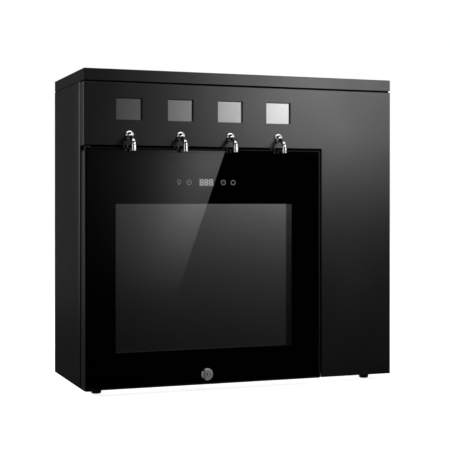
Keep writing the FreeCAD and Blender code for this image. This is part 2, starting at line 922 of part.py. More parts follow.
def insulation_foam():
    """Foam that fills the space between the lining and the cabinet."""
    piece = Piece("insulation_foam", *CORNER)
    gap = s.seat_clearance + s.foam_clearance
    left, right = s.sheet_gauge + gap, door_bay_width - gap
    low, high = pan_top + gap, deck_bottom - gap
    front, back = flange_back + s.foam_clearance, panel_back - s.sheet_gauge - gap
    piece.pad("XZ", front, back, rectangle(left, low, right, high))
    wall = s.liner_gauge + s.foam_clearance
    space = rounded(
        cavity_left - wall,
        s.cavity_floor - wall,
        cavity_right + wall,
        cavity_top + wall,
        s.liner_corner + wall,
    )
    piece.pocket("XZ", front, liner_back + s.foam_clearance, space)
    sleeve = circle(first_bottle, s.bottle_setback, sleeve_radius + s.liner_hole_clearance)
    line = circle(first_bottle, s.bottle_setback, s.line_hole_radius)
    floor_hole = piece.pocket("XY", s.cavity_floor, low, sleeve)
    roof_hole = piece.pocket("XY", high, cavity_top, line)
    piece.row([floor_hole, roof_hole], "X", s.bottle_pitch, TAPS)


def lift_base():
    """Tray on the compartment's floor with a deep sleeve under each bottle lift."""
    piece = Piece("lift_base", *CORNER)
    inset = s.liner_corner
    top = s.cavity_floor + s.lift_base_gauge
    front, back = s.liner_setback + inset, duct_front - inset
    tray = rounded(cavity_left + inset, front, cavity_right - inset, back, inset)
    piece.pad("XY", s.cavity_floor, top, tray)
    column = circle(first_bottle, s.bottle_setback, sleeve_radius)
    sleeve = piece.pad("XY", sleeve_foot, sleeve_top, column)
    bore = circle(first_bottle, s.bottle_setback, s.lift_post_radius + s.lift_fit)
    hollow = piece.pocket("XY", sleeve_top, sleeve_floor, bore)
    piece.row([sleeve, hollow], "X", s.bottle_pitch, TAPS)


def bottle_lift(number, x):
    """Round platform with a raised rim, on a post that slides in its sleeve against a hidden spring."""
    piece = Piece(f"bottle_lift_{number}", corner_x + x, corner_y + s.bottle_setback, corner_z + lift_sole)
    disc, rim, gauge = s.lift_disc_radius, s.lift_rim_width, s.lift_disc_gauge
    foot = post_foot - lift_sole
    top = gauge + s.lift_rim_height
    profile = [
        (ZERO, foot),
        (s.lift_post_radius - rim / 2, foot),
        (s.lift_post_radius, foot + rim / 2),
        (s.lift_post_radius, ZERO),
        (disc - rim, ZERO),
        (disc, rim),
        (disc, top),
        (disc - rim / 2, top),
        (disc - rim, gauge),
        (ZERO, gauge),
    ]
    piece.revolve("XZ", "V_Axis", profile)
    for ring in range(1, GROOVES + 1):
        inner = (disc - rim) * ring / (GROOVES + 1)
        outer = inner + rim / 2
        groove = rectangle(inner, gauge - rim / 4, outer, gauge)
        piece.revolve("XZ", "V_Axis", groove, kind="Groove")


def head_rail():
    """Folded channel under the compartment's roof that carries the sealing heads."""
    piece = Piece("head_rail", *CORNER)
    left, right = cavity_left + s.liner_corner, cavity_right - s.liner_corner
    front, back = s.bottle_setback - s.head_rail_depth / 2, s.bottle_setback + s.head_rail_depth / 2
    low, high = cavity_top - s.head_rail_lip, cavity_top
    wall = s.head_rail_gauge
    channel = [
        (front, low),
        (front + wall, low),
        (front + wall, high - wall),
        (back - wall, high - wall),
        (back - wall, low),
        (back, low),
        (back, high),
        (front, high),
    ]
    piece.pad("YZ", left, right, channel)
    hole = circle(first_bottle, s.bottle_setback, s.line_hole_radius)
    line = piece.pocket("XY", high, high - wall, hole)
    piece.row([line], "X", s.bottle_pitch, TAPS)


def sealing_heads():
    """Turned heads that hang under the rail, each a body, a neck, a conical stopper and a gas spigot."""
    top = cavity_top - s.head_rail_gauge
    piece = Piece("sealing_heads", corner_x + first_bottle, corner_y + s.bottle_setback, corner_z + top)
    neck, stopper = -s.head_height, -s.head_height - s.head_neck_height
    tip = stopper - s.stopper_height
    bevel = s.head_radius - s.head_neck_radius
    profile = [
        (ZERO, tip - s.head_spigot_length),
        (s.head_spigot_radius, tip - s.head_spigot_length),
        (s.head_spigot_radius, tip),
        (s.stopper_tip_radius, tip),
        (s.stopper_top_radius, stopper),
        (s.head_neck_radius, stopper),
        (s.head_neck_radius, neck),
        (s.head_radius, neck + bevel),
        (s.head_radius, ZERO),
        (ZERO, ZERO),
    ]
    head = piece.revolve("XZ", "V_Axis", profile)
    piece.row([head], "X", s.bottle_pitch, TAPS)


def wine_lines():
    """Steel lines that rise from the heads through the roof and bend forward to the taps."""
    piece = Piece("wine_lines", corner_x + first_bottle, corner_y + s.bottle_setback, corner_z)
    foot_end = cavity_top - s.head_rail_gauge
    rise = spout_level - s.wine_line_bend
    front = s.shank_length - s.bottle_setback
    bend = s.wine_line_bend
    path = [(ZERO, foot_end), (ZERO, rise), (-bend, spout_level, bend, 1), (front, spout_level)]
    section = circle(ZERO, ZERO, s.wine_line_radius)
    line = piece.pipe("XY", foot_end, section, "YZ", ZERO, path)
    piece.row([line], "X", s.bottle_pitch, TAPS)


def lamp_bar():
    """Half-round light diffuser under the front of the compartment's roof."""
    piece = Piece("lamp_bar", corner_x + row_middle, corner_y + s.lamp_setback, corner_z + cavity_top)
    radius = s.lamp_radius
    section = [(-radius, ZERO), (radius, ZERO, radius, 1)]
    half = (cavity_right - cavity_left) / 2 - s.lamp_end_gap
    piece.pad("YZ", -half, half, section)


def spider(piece, plane_front, plane_back, hub, reach):
    """Hub plate and four struts that hold a fan's shaft in the middle of its ring."""
    half = s.strut_width / 2
    piece.pad("XZ", plane_front, plane_back, circle(ZERO, ZERO, hub))
    piece.pad("XZ", plane_front, plane_back, rectangle(-reach, -half, reach, half))
    piece.pad("XZ", plane_front, plane_back, rectangle(-half, -reach, half, reach))


def air_duct():
    """Moulded cover over the evaporator: a tray open to the rear, with slots and a guarded fan ring."""
    half = (cavity_right - cavity_left) / 2 - s.duct_side_gap
    low, high = duct_bottom - duct_fan_level, duct_top - duct_fan_level
    piece = Piece("air_duct", corner_x + row_middle, corner_y + duct_front, corner_z + duct_fan_level)
    wall, depth = s.duct_gauge, s.duct_depth
    corner = s.liner_corner
    piece.pad("XZ", ZERO, depth, rounded(-half, low, half, high, corner))
    inside = rounded(wall - half, low + wall, half - wall, high - wall, corner - wall)
    piece.pocket("XZ", depth, wall, inside)
    opening = s.duct_fan_radius + s.fan_tip_gap
    piece.pocket("XZ", ZERO, wall, circle(ZERO, ZERO, opening))
    spider(piece, ZERO, wall, s.fan_hub_radius, opening + wall / 2)
    reach, base = half - s.duct_slot_inset, low + s.duct_slot_rise
    slot = piece.pocket("XZ", ZERO, wall, rectangle(-reach, base, reach, base + s.duct_slot_height))
    piece.row([slot], "Z", s.duct_slot_pitch, DUCT_SLOTS)
    shaft = wall + s.fan_hub_gap + s.duct_fan_depth + s.fan_hub_gap
    piece.pad("XZ", wall, shaft, circle(ZERO, ZERO, s.fan_shaft_radius))


def blade_section(chord, front, back):
    """A thin slanted blade section that runs from one axial place to another across its chord."""
    half = chord / 2
    return [
        (-half, front),
        (half, back - s.blade_gauge),
        (half, back),
        (-half, front + s.blade_gauge),
    ]


def fan_rotor(name, x, y, z, radius, depth, tip_chord):
    """Axial rotor: a bored hub and blades lofted from a steep root section to a flatter, wider tip."""
    piece = Piece(name, x, y, z)
    piece.pad("XZ", ZERO, depth, circle(ZERO, ZERO, s.fan_hub_radius))
    edge = s.blade_gauge / 2
    root = blade_section(s.blade_root_chord, edge, depth - edge)
    tip = blade_section(tip_chord, depth / 4, depth * 3 / 4)
    blade = piece.loft("XY", [(s.fan_hub_radius - s.fan_tip_gap, root), (radius - s.fan_tip_gap, tip)])
    piece.ring([blade], "Y", BLADES)
    piece.pocket("XZ", ZERO, depth, circle(ZERO, ZERO, s.fan_shaft_radius + s.fan_shaft_fit))


def circulation_fan():
    front = duct_front + s.duct_gauge + s.fan_hub_gap
    spot = (corner_x + row_middle, corner_y + front, corner_z + duct_fan_level)
    fan_rotor("circulation_fan", *spot, s.duct_fan_radius, s.duct_fan_depth, s.circulation_tip_chord)


def condenser_fan():
    front = shroud_front + s.shroud_gauge + s.fan_hub_gap
    spot = (corner_x + bay_middle, corner_y + front, corner_z + fan_level)
    fan_rotor("condenser_fan", *spot, s.rear_fan_radius, s.rear_fan_depth, s.condenser_tip_chord)


# ---------------------------------------------------------------- displays and taps


def display_carrier():
    """Rail behind the fascia with a deep window and a lens seat for each display."""
    piece = Piece("display_carrier", *CORNER)
    margin = s.carrier_margin
    left = first_bottle - s.display_width / 2
    low, high = display_base, display_base + s.display_height
    right = left + s.bottle_pitch * (TAPS - 1) + s.display_width
    front = s.sheet_gauge
    seat = front + s.display_recess
    back = front + s.carrier_depth
    piece.pad("XZ", front, back, rectangle(left - margin, low - margin, right + margin, high + margin))
    window = piece.pocket("XZ", front, seat, rectangle(left, low, left + s.display_width, high))
    lap = s.display_overlap
    lens = rectangle(left - lap, low - lap, left + s.display_width + lap, high + lap)
    pocket = piece.pocket("XZ", back, seat, lens)
    piece.row([window, pocket], "X", s.bottle_pitch, TAPS)


def display_lens(number, x):
    lens = doc.addObject("Part::Box", f"display_{number}")
    lens.Label = f"display_{number}"
    lap = s.display_overlap - s.seat_clearance
    lens.setExpression("Length", (s.display_width + lap * 2).text)
    lens.setExpression("Width", s.display_gauge.text)
    lens.setExpression("Height", (s.display_height + lap * 2).text)
    left = x - s.display_width / 2 - lap
    front = s.sheet_gauge + s.display_recess
    place(lens, corner_x + left, corner_y + front, corner_z + display_base - lap)
    pieces.append(lens)


def spout(number, x):
    """Chromed tap: domed collar, threaded shank through the fascia and a tube bent down over the glass."""
    piece = Piece(f"spout_{number}", corner_x + x, corner_y, corner_z + spout_level)
    rim, dome = s.collar_rim, s.collar_dome
    tip = leg(dome, s.collar_radius) - leg(dome, s.spout_radius) - rim
    profile = [
        (ZERO, ZERO),
        (tip, ZERO),
        (tip, s.spout_radius),
        (-rim, s.collar_radius, dome, -1),
        (ZERO, s.collar_radius),
    ]
    piece.revolve("YZ", "H_Axis", profile)
    piece.pad("XZ", ZERO, s.shank_length, circle(ZERO, ZERO, s.shank_radius))
    bend, reach = s.spout_bend, s.spout_reach
    end = s.nozzle_lip - s.spout_drop
    path = [(-rim, ZERO), (bend - reach, ZERO), (-reach, -bend, bend, 1), (-reach, end)]
    piece.pipe("XZ", -rim, circle(ZERO, ZERO, s.spout_radius), "YZ", ZERO, path)
    piece.pocket("XY", end, end + s.nozzle_length, circle(ZERO, -reach, s.spout_bore))


def nozzle(number, x):
    """Pull-off pouring sleeve on the end of the spout, with a bevelled top and an inner stop lip."""
    low = spout_level - s.spout_drop
    piece = Piece(f"nozzle_{number}", corner_x + x, corner_y - s.spout_reach, corner_z + low)
    inner = s.spout_radius + s.slip_fit
    bevel = s.nozzle_radius - inner
    profile = [
        (s.nozzle_bore, ZERO),
        (s.nozzle_radius - bevel / 2, ZERO),
        (s.nozzle_radius, bevel / 2),
        (s.nozzle_radius, s.nozzle_length - bevel * 2),
        (inner + bevel / 4, s.nozzle_length),
        (inner, s.nozzle_length),
        (inner, s.nozzle_lip),
        (s.nozzle_bore, s.nozzle_lip),
    ]
    piece.revolve("XZ", "V_Axis", profile)


def valve_bank():
    """Pinch valves on one rail over the deck, each with a coil on top and a passage for its wine line."""
    piece = Piece("valve_bank", *CORNER)
    front, back = s.valve_setback, s.valve_setback + s.valve_depth
    half = s.valve_width / 2
    rail_top = deck_top + s.base_gauge
    left = first_bottle - s.valve_width
    right = first_bottle + s.bottle_pitch * (TAPS - 1) + s.valve_width
    piece.pad("XY", deck_top, rail_top, rectangle(left, front, right, back))
    top = rail_top + s.valve_height
    body = rectangle(first_bottle - half, front, first_bottle + half, back)
    block = piece.pad("XY", rail_top, top, body)
    winding = circle(first_bottle, (front + back) / 2, s.coil_radius)
    coil = piece.pad("XY", top, top + s.coil_height, winding)
    passage = circle(first_bottle, spout_level, s.wine_line_radius + s.foam_clearance)
    line = piece.pocket("XZ", front, back, passage)
    piece.row([block, coil, line], "X", s.bottle_pitch, TAPS)


# ---------------------------------------------------------------- door


def door_frame():
    """Door moulding: a lip on three sides of the outer glass, the window and the seats for both panes."""
    piece = Piece("door_frame", *CORNER)
    left, right, low, high = door_left, door_right, door_bottom, door_top
    piece.pad("XZ", door_front, door_back, round_footed(left, low, right, high, s.door_corner))
    lip = s.glass_lip
    rebate = rectangle(left + lip, low + lip, right - lip, high)
    piece.pocket("XZ", door_front, glass_back, rebate)
    window = rectangle(window_left, window_bottom, window_right, window_top)
    piece.pocket("XZ", glass_back, door_back, window)
    margin = s.inner_glass_margin
    seat = rectangle(
        window_left - margin, window_bottom - margin, window_right + margin, window_top + margin
    )
    piece.pocket("XZ", door_back, door_front + s.inner_glass_depth, seat)
    half, rise = s.touch_board_width / 2, s.touch_board_height / 2
    board = rectangle(
        door_middle - half, touch_level - rise, door_middle + half, touch_level + rise
    )
    piece.pocket("XZ", glass_back, glass_back + s.touch_board_depth, board)
    barrel = circle(door_middle, s.lock_level, s.lock_barrel_radius + s.seat_clearance)
    piece.pocket("XZ", glass_back, door_back, barrel)
    bore = circle(hinge_x, hinge_y, s.hinge_pin_radius + s.slip_fit)
    depth = s.hinge_pin_length + s.hole_clearance
    piece.pocket("XY", door_top, door_top - depth, bore)
    piece.pocket("XY", door_bottom, door_bottom + depth, bore)


def outer_glass():
    piece = Piece("outer_glass", *CORNER)
    gap = s.glass_lip + s.glass_clearance
    left, right = door_left + gap, door_right - gap
    pane = round_footed(left, door_bottom + gap, right, door_top, s.door_corner / 2)
    hole = circle(door_middle, s.lock_level, s.lock_barrel_radius + s.seat_clearance)
    piece.pad("XZ", glass_front, glass_back, pane, hole)


def door_header():
    """Fixed strip over the door, faced like it, that lets the door swing clear below the nozzles."""
    piece = Piece("door_header", *CORNER)
    gauge, lip = s.header_gauge, s.glass_lip
    low, high = header_bottom, header_top
    back = door_front + s.header_depth
    profile = [
        (glass_front, low),
        (back, low),
        (back, high - gauge),
        (gauge, high - gauge),
        (gauge, s.door_bay_height),
        (ZERO, s.door_bay_height),
        (ZERO, high),
        (door_front, high),
        (door_front, high - s.header_lip),
        (glass_front, high - s.header_lip),
    ]
    piece.pad("YZ", door_left, door_right, profile)
    ends = [
        rectangle(start, low, finish, high - s.header_lip)
        for start, finish in ((door_left, door_left + lip), (door_right - lip, door_right))
    ]
    piece.pad("XZ", door_front, glass_front, *ends)


def inner_glass():
    pane = doc.addObject("Part::Box", "inner_glass")
    pane.Label = "inner_glass"
    lap = s.inner_glass_margin - s.glass_clearance
    pane.setExpression("Length", (window_right - window_left + lap * 2).text)
    pane.setExpression("Width", s.inner_glass_gauge.text)
    pane.setExpression("Height", (window_top - window_bottom + lap * 2).text)
    front = door_front + s.inner_glass_depth
    place(pane, corner_x + window_left - lap, corner_y + front, corner_z + window_bottom - lap)
    pieces.append(pane)


def door_gasket():
    """Magnetic gasket: a broad foot on the door and a narrower bulb that closes on the liner's rim."""
    piece = Piece("door_gasket", *CORNER)
    left, right = cavity_left - s.gasket_margin, cavity_right + s.gasket_margin
    low, high = s.cavity_floor - s.gasket_floor_gap, cavity_top + s.gasket_margin
    front, back = door_back, s.liner_setback - s.gasket_squeeze

    def ring(inset):
        reach = s.gasket_width - inset
        outer = rounded(left - reach, low - reach, right + reach, high + reach, s.gasket_width)
        return outer, rectangle(left - inset, low - inset, right + inset, high + inset)

    piece.pad("XZ", front, front + s.gasket_foot, *ring(ZERO))
    piece.pad("XZ", front + s.gasket_foot, back, *ring(s.gasket_shoulder))


def touch_board():
    """Display and key board that sits in the door frame against the back of the outer glass."""
    piece = Piece("touch_board", *CORNER)
    gap = s.seat_clearance
    half, rise = s.touch_board_width / 2 - gap, s.touch_board_height / 2 - gap
    x, z = door_middle, touch_level
    face = glass_back + s.touch_board_depth / 3
    board = rectangle(x - half, z - rise, x + half, z + rise)
    piece.pad("XZ", face, face + s.controller_gauge, board)
    wide, tall = s.touch_module_width / 2, s.touch_module_height / 2
    piece.pad("XZ", glass_back, face, rectangle(x - wide, z - tall, x + wide, z + tall))
    spacer = s.touch_spacer / 2
    for side in (-1, 1):
        middle = x + (half - s.touch_spacer) * side
        post = rectangle(middle - spacer, z - spacer, middle + spacer, z + spacer)
        piece.pad("XZ", face + s.controller_gauge, glass_back + s.touch_board_depth, post)


def hinge_plate(piece, low, high, tail):
    radius = s.hinge_plate_radius
    plate = [
        (hinge_x - radius, hinge_y),
        (hinge_x + radius, hinge_y, radius, 1),
        (hinge_x + radius, tail),
        (hinge_x - radius, tail),
    ]
    piece.pad("XY", low, high, plate)


def hinge_upper():
    """Bracket behind the header: a plate with a pin that hangs into the door's top bore."""
    piece = Piece("hinge_upper", *CORNER)
    gauge, radius = s.hinge_plate_gauge, s.hinge_plate_radius
    low, high = door_top + s.hinge_plate_gap, door_top + s.hinge_plate_gap + gauge
    hinge_plate(piece, low, high, s.liner_setback)
    leg_front, leg_foot = s.liner_setback - gauge, low - s.hinge_leg_height
    leg = rectangle(hinge_x - radius, leg_front, hinge_x + radius, s.liner_setback)
    piece.pad("XY", low, leg_foot, leg)
    piece.pad("XY", low, door_top - s.hinge_pin_length, circle(hinge_x, hinge_y, s.hinge_pin_radius))
    middle = (low + leg_foot) / 2
    screws = [
        circle(hinge_x, middle + s.hinge_screw_pitch / 2 * side, s.hinge_screw_radius) for side in (-1, 1)
    ]
    piece.pocket("XZ", leg_front, s.liner_setback, *screws)


def hinge_lower():
    """Bracket under the cabinet's foot flange with a pin that stands up into the door's bottom bore."""
    piece = Piece("hinge_lower", *CORNER)
    hinge_plate(piece, -s.hinge_plate_gauge, ZERO, s.hinge_tail)
    tip = door_bottom + s.hinge_pin_length
    piece.pad("XY", ZERO, tip, circle(hinge_x, hinge_y, s.hinge_pin_radius))


LOCK = (corner_x + door_middle, corner_y, corner_z + s.lock_level)


def lock_body():
    """Lock barrel with a bevelled, twice notched bezel on the glass and a bore for the plug."""
    piece = Piece("lock_body", *LOCK)
    bezel, barrel, height = s.lock_bezel_radius, s.lock_barrel_radius, s.lock_bezel_height
    bore = s.lock_plug_radius + s.slip_fit
    face = glass_front - height
    profile = [
        (face, bore),
        (face, bezel - height / 2),
        (face + height / 2, bezel),
        (glass_front, bezel),
        (glass_front, barrel),
        (door_back + s.door_bottom_gap, barrel),
        (door_back + s.door_bottom_gap, bore),
    ]
    piece.revolve("YZ", "H_Axis", profile)
    half = s.lock_notch_width / 2
    reach = bezel * math.sqrt(0.5)
    for side in (-1, 1):
        notch = rectangle(-reach - half, reach * side - half, -reach + half, reach * side + half)
        piece.pocket("XZ", face, glass_front, notch)


def lock_plug():
    """Turning plug with its keyhole in front and a spigot for the cam behind."""
    piece = Piece("lock_plug", *LOCK)
    face = glass_front - s.lock_bezel_height + s.lock_plug_sink
    piece.pad("XZ", face, s.cam_setback, circle(ZERO, ZERO, s.lock_plug_radius))
    spigot = circle(ZERO, ZERO, s.cam_spigot_radius)
    piece.pad("XZ", s.cam_setback, s.cam_setback + s.cam_spigot_length, spigot)
    half, rise = s.keyhole_width / 2, s.keyhole_height / 2
    piece.pocket("XZ", face, face + s.keyhole_depth, rectangle(-half, -rise, half, rise))


def lock_cam():
    """Cam plate on the plug: level when the door is free, turned down behind the strike tab to lock."""
    piece = Piece("lock_cam", *LOCK)
    half, tip = s.cam_width / 2, s.cam_reach - s.cam_width / 2
    arm = [(tip, -half), (tip, half, half, 1), (ZERO, half), (ZERO, -half, half, 1)]
    hole = circle(ZERO, ZERO, s.cam_spigot_radius)
    piece.pad("XZ", s.cam_setback, s.cam_setback + s.cam_gauge, arm, hole)


def lock_strike():
    """Angle under the base pan whose upstand holds the cam back when the door is locked."""
    piece = Piece("lock_strike", *CORNER)
    left, right = door_middle - s.strike_width / 2, door_middle + s.strike_width / 2
    front, gauge, seat = s.strike_setback, s.base_gauge, s.sheet_gauge
    angle = [
        (front, seat - gauge),
        (front + s.strike_foot, seat - gauge),
        (front + s.strike_foot, seat),
        (front + gauge, seat),
        (front + gauge, s.strike_height),
        (front, s.strike_height),
    ]
    piece.pad("YZ", left, right, angle)


# ---------------------------------------------------------------- service bay


def compressor():
    """Hermetic compressor: a domed pot with a welded rim, on a plate with four grommets."""
    piece = Piece("compressor", corner_x + bay_middle, corner_y + s.compressor_setback, corner_z + pan_top)
    radius, rise, rim = s.compressor_radius, s.compressor_rise, s.compressor_rim
    dome = sphere_radius(radius, rise)
    low = s.compressor_stand
    high = low + s.compressor_height
    seam = low + s.compressor_seam
    profile = [
        (ZERO, low),
        (radius, low + rise, dome, 1),
        (radius, seam),
        (radius + rim, seam),
        (radius + rim, seam + s.compressor_rim_height),
        (radius, seam + s.compressor_rim_height),
        (radius, high - rise),
        (ZERO, high, dome, 1),
    ]
    piece.revolve("XZ", "V_Axis", profile)
    half_width, half_depth = s.compressor_plate_width / 2, s.compressor_plate_depth / 2
    plate = rounded(-half_width, -half_depth, half_width, half_depth, s.grommet_radius)
    plate_low = low + s.compressor_plate_gauge
    piece.pad("XY", plate_low, plate_low + s.compressor_plate_gauge, plate)
    inset = s.grommet_radius + s.compressor_plate_gauge
    grommets = [
        circle((half_width - inset) * side, (half_depth - inset) * end, s.grommet_radius)
        for side in (-1, 1)
        for end in (-1, 1)
    ]
    piece.pad("XY", ZERO, plate_low, *grommets)


def condenser():
    """Fin pack between two tanks."""
    spot = (corner_x + bay_middle, corner_y + condenser_front, corner_z + s.condenser_base)
    piece = Piece("condenser", *spot)
    half, tank = s.condenser_width / 2, s.condenser_tank
    depth, high = s.condenser_depth, s.condenser_height
    piece.pad("XY", ZERO, tank, rectangle(-half, ZERO, half, depth))
    fin = rectangle(-half, ZERO, -half + s.fin_gauge, depth)
    first = piece.pad("XY", tank, high - tank, fin)
    piece.row([first], "X", (s.condenser_width - s.fin_gauge) / (FINS - 1), FINS)
    piece.pad("XY", high - tank, high, rectangle(-half, ZERO, half, depth))


def fan_shroud():
    """Square plate behind the condenser with a deep ring and a spider for the fan's shaft."""
    piece = Piece("fan_shroud", corner_x + bay_middle, corner_y + shroud_front, corner_z + fan_level)
    half = s.condenser_width / 2
    ring, wall = s.rear_fan_radius + s.fan_tip_gap, s.shroud_gauge
    piece.pad("XZ", ZERO, wall, rectangle(-half, -half, half, half), circle(ZERO, ZERO, ring))
    piece.pad("XZ", wall, s.shroud_depth, circle(ZERO, ZERO, ring + wall), circle(ZERO, ZERO, ring))
    spider(piece, ZERO, wall, s.fan_hub_radius, ring + wall / 2)
    shaft = wall + s.fan_hub_gap + s.rear_fan_depth + s.fan_hub_gap
    piece.pad("XZ", wall, shaft, circle(ZERO, ZERO, s.fan_shaft_radius))


def controller_board():
    """Main board on four standoffs on the partition, with its transformer, relays and capacitors."""
    spot = (corner_x + bay_wall, corner_y + s.controller_setback, corner_z + s.controller_level)
    piece = Piece("controller_board", *spot)
    face = s.standoff_height + s.controller_gauge
    depth, high = s.controller_depth, s.controller_height
    piece.pad("YZ", s.standoff_height, face, rectangle(ZERO, ZERO, depth, high))
    inset = s.standoff_radius * 2
    standoffs = [
        circle(y, z, s.standoff_radius) for y in (inset, depth - inset) for z in (inset, high - inset)
    ]
    piece.pad("YZ", ZERO, s.standoff_height, *standoffs)
    near, top = inset * 2, high - inset * 2
    block = rectangle(near, top - s.transformer_height, near + s.transformer_width, top)
    piece.pad("YZ", face, face + s.transformer_rise, block)
    relay = rectangle(near, near, near + s.relay_width, near + s.relay_height)
    first = piece.pad("YZ", face, face + s.relay_rise, relay)
    piece.row([first], "Y", s.relay_pitch, TAPS)
    column = depth - near - s.capacitor_radius * 2
    cans = [
        circle(column, top - s.capacitor_radius - s.capacitor_pitch * index, s.capacitor_radius)
        for index in range(CAPACITORS)
    ]
    piece.pad("YZ", face, face + s.capacitor_rise, *cans)


def power_inlet():
    """Three-pin mains inlet: a flange on the back skin, a cavity and its pins."""
    spot = (corner_x + cabinet_width - s.inlet_inset, corner_y + s.cabinet_depth, corner_z + s.inlet_level)
    piece = Piece("power_inlet", *spot)
    half, rise = s.inlet_width / 2, s.inlet_height / 2
    flange = s.inlet_flange
    piece.pad("XZ", ZERO, flange, rounded(-half, -rise, half, rise, s.door_corner))
    half, rise = s.inlet_body_width / 2, s.inlet_body_height / 2
    piece.pad("XZ", ZERO, -s.inlet_body_depth, rectangle(-half, -rise, half, rise))
    half, rise = s.inlet_cavity_width / 2, s.inlet_cavity_height / 2
    key = rise / 2
    mouth = [
        (-half, -rise),
        (half, -rise),
        (half, rise - key),
        (half - key, rise),
        (key - half, rise),
        (-half, rise - key),
    ]
    bottom = flange - s.inlet_cavity_depth
    piece.pocket("XZ", flange, bottom, mouth)
    wide, tall = s.inlet_pin_width / 2, s.inlet_pin_height / 2
    pitch = s.inlet_pin_pitch
    pins = [
        rectangle(pitch * side - wide, lift - tall, pitch * side + wide, lift + tall)
        for side, lift in ((-1, -tall), (0, tall), (1, -tall))
    ]
    piece.pad("XZ", bottom, bottom + s.inlet_pin_length, *pins)


def gas_fitting():
    """Push-in bulkhead fitting for the preserving gas."""
    spot = (corner_x + cabinet_width - s.gas_inset, corner_y + s.cabinet_depth, corner_z + s.gas_level)
    piece = Piece("gas_fitting", *spot)
    collar, body, bore = s.gas_collar_radius, s.gas_radius, s.gas_bore_radius
    out = s.gas_stand_out
    profile = [
        (-s.gas_body_depth, ZERO),
        (-s.gas_body_depth, body),
        (ZERO, body),
        (ZERO, collar),
        (out - (collar - body), collar),
        (out, body),
        (out, bore),
        (out - s.gas_bore_depth, bore),
        (out - s.gas_bore_depth, ZERO),
    ]
    piece.revolve("YZ", "H_Axis", profile)


# ---------------------------------------------------------------- assembly


def build():
    top_cover()
    neck_frame()
    left_side_panel()
    right_side_panel()
    rear_panel()
    base_pan()
    front_fascia()
    partition_panel()
    for name, (x, y) in foot_places().items():
        foot(name, x, y)
    liner()
    insulation_foam()
    lift_base()
    head_rail()
    sealing_heads()
    lamp_bar()
    air_duct()
    circulation_fan()
    wine_lines()
    display_carrier()
    valve_bank()
    for number, x in bottle_places():
        bottle_lift(number, x)
        display_lens(number, x)
        spout(number, x)
        nozzle(number, x)
    door_frame()
    outer_glass()
    door_header()
    inner_glass()
    door_gasket()
    touch_board()
    hinge_upper()
    hinge_lower()
    lock_body()
    lock_plug()
    lock_cam()
    lock_strike()
    compressor()
    condenser()
    fan_shroud()
    condenser_fan()
    controller_board()
    power_inlet()
    gas_fitting()


def check():
    """Stop if any object failed, any cut removed nothing or any sub-part has no valid solid."""
    for item in doc.Objects:
        if "Invalid" in item.State or "Error" in item.State:
            raise RuntimeError(f"{item.Name} failed: {item.State}")
        if item.TypeId in ("PartDesign::Pocket", "PartDesign::Groove"):
            if item.Shape.Volume > item.BaseFeature.Shape.Volume * UNCUT:
                raise RuntimeError(f"{item.Name} cuts nothing")
    for piece in pieces:
        if piece.Shape.isNull() or not piece.Shape.isValid() or not piece.Shape.Solids:
            raise RuntimeError(f"{piece.Label} has no valid solid")


def export():
    os.makedirs(OUT, exist_ok=True)
    for piece in pieces:
        piece.Shape.exportStep(os.path.join(OUT, f"{piece.Label}.step"))


build()
doc.recompute()
check()
export()
print(f"{len(pieces)} pieces")
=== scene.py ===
"""Looks for a four-tap wine preservation dispenser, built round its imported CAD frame.

Every length is in metres in the row frame: X to the right, Y to the back, Z up, floor at Z = 0.
"""

import json
import math

import bmesh
import bpy
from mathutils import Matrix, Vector


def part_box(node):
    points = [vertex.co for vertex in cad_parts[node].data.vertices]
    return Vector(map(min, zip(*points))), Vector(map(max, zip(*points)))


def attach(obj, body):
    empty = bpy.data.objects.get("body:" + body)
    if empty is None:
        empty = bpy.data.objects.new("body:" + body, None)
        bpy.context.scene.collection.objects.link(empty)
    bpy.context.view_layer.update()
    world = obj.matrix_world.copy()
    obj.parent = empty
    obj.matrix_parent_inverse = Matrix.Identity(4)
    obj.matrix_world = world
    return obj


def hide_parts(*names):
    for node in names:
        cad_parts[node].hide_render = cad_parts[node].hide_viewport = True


MM = 0.001

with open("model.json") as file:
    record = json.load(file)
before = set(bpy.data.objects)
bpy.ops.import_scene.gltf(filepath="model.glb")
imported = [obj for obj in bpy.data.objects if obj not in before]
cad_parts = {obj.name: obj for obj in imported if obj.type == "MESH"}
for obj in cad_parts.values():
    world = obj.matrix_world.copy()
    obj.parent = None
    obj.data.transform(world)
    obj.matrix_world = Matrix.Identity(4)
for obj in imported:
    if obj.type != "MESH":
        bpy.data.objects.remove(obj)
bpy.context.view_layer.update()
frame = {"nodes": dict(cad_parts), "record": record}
nodes = frame["nodes"]

# Faces of the CAD that the looks and the scene's own pieces are laid out from.
DOOR_LEFT, DOOR_FACE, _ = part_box("door_frame")[0]
LINER_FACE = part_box("liner")[0].y
FASCIA_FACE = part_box("front_fascia")[0].y
GLASS_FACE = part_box("outer_glass")[0].y
HEADER_LOW, HEADER_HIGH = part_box("door_header")
HEADER_TOP = HEADER_LOW.z + 8.3 * MM
TAPS = range(1, 5)


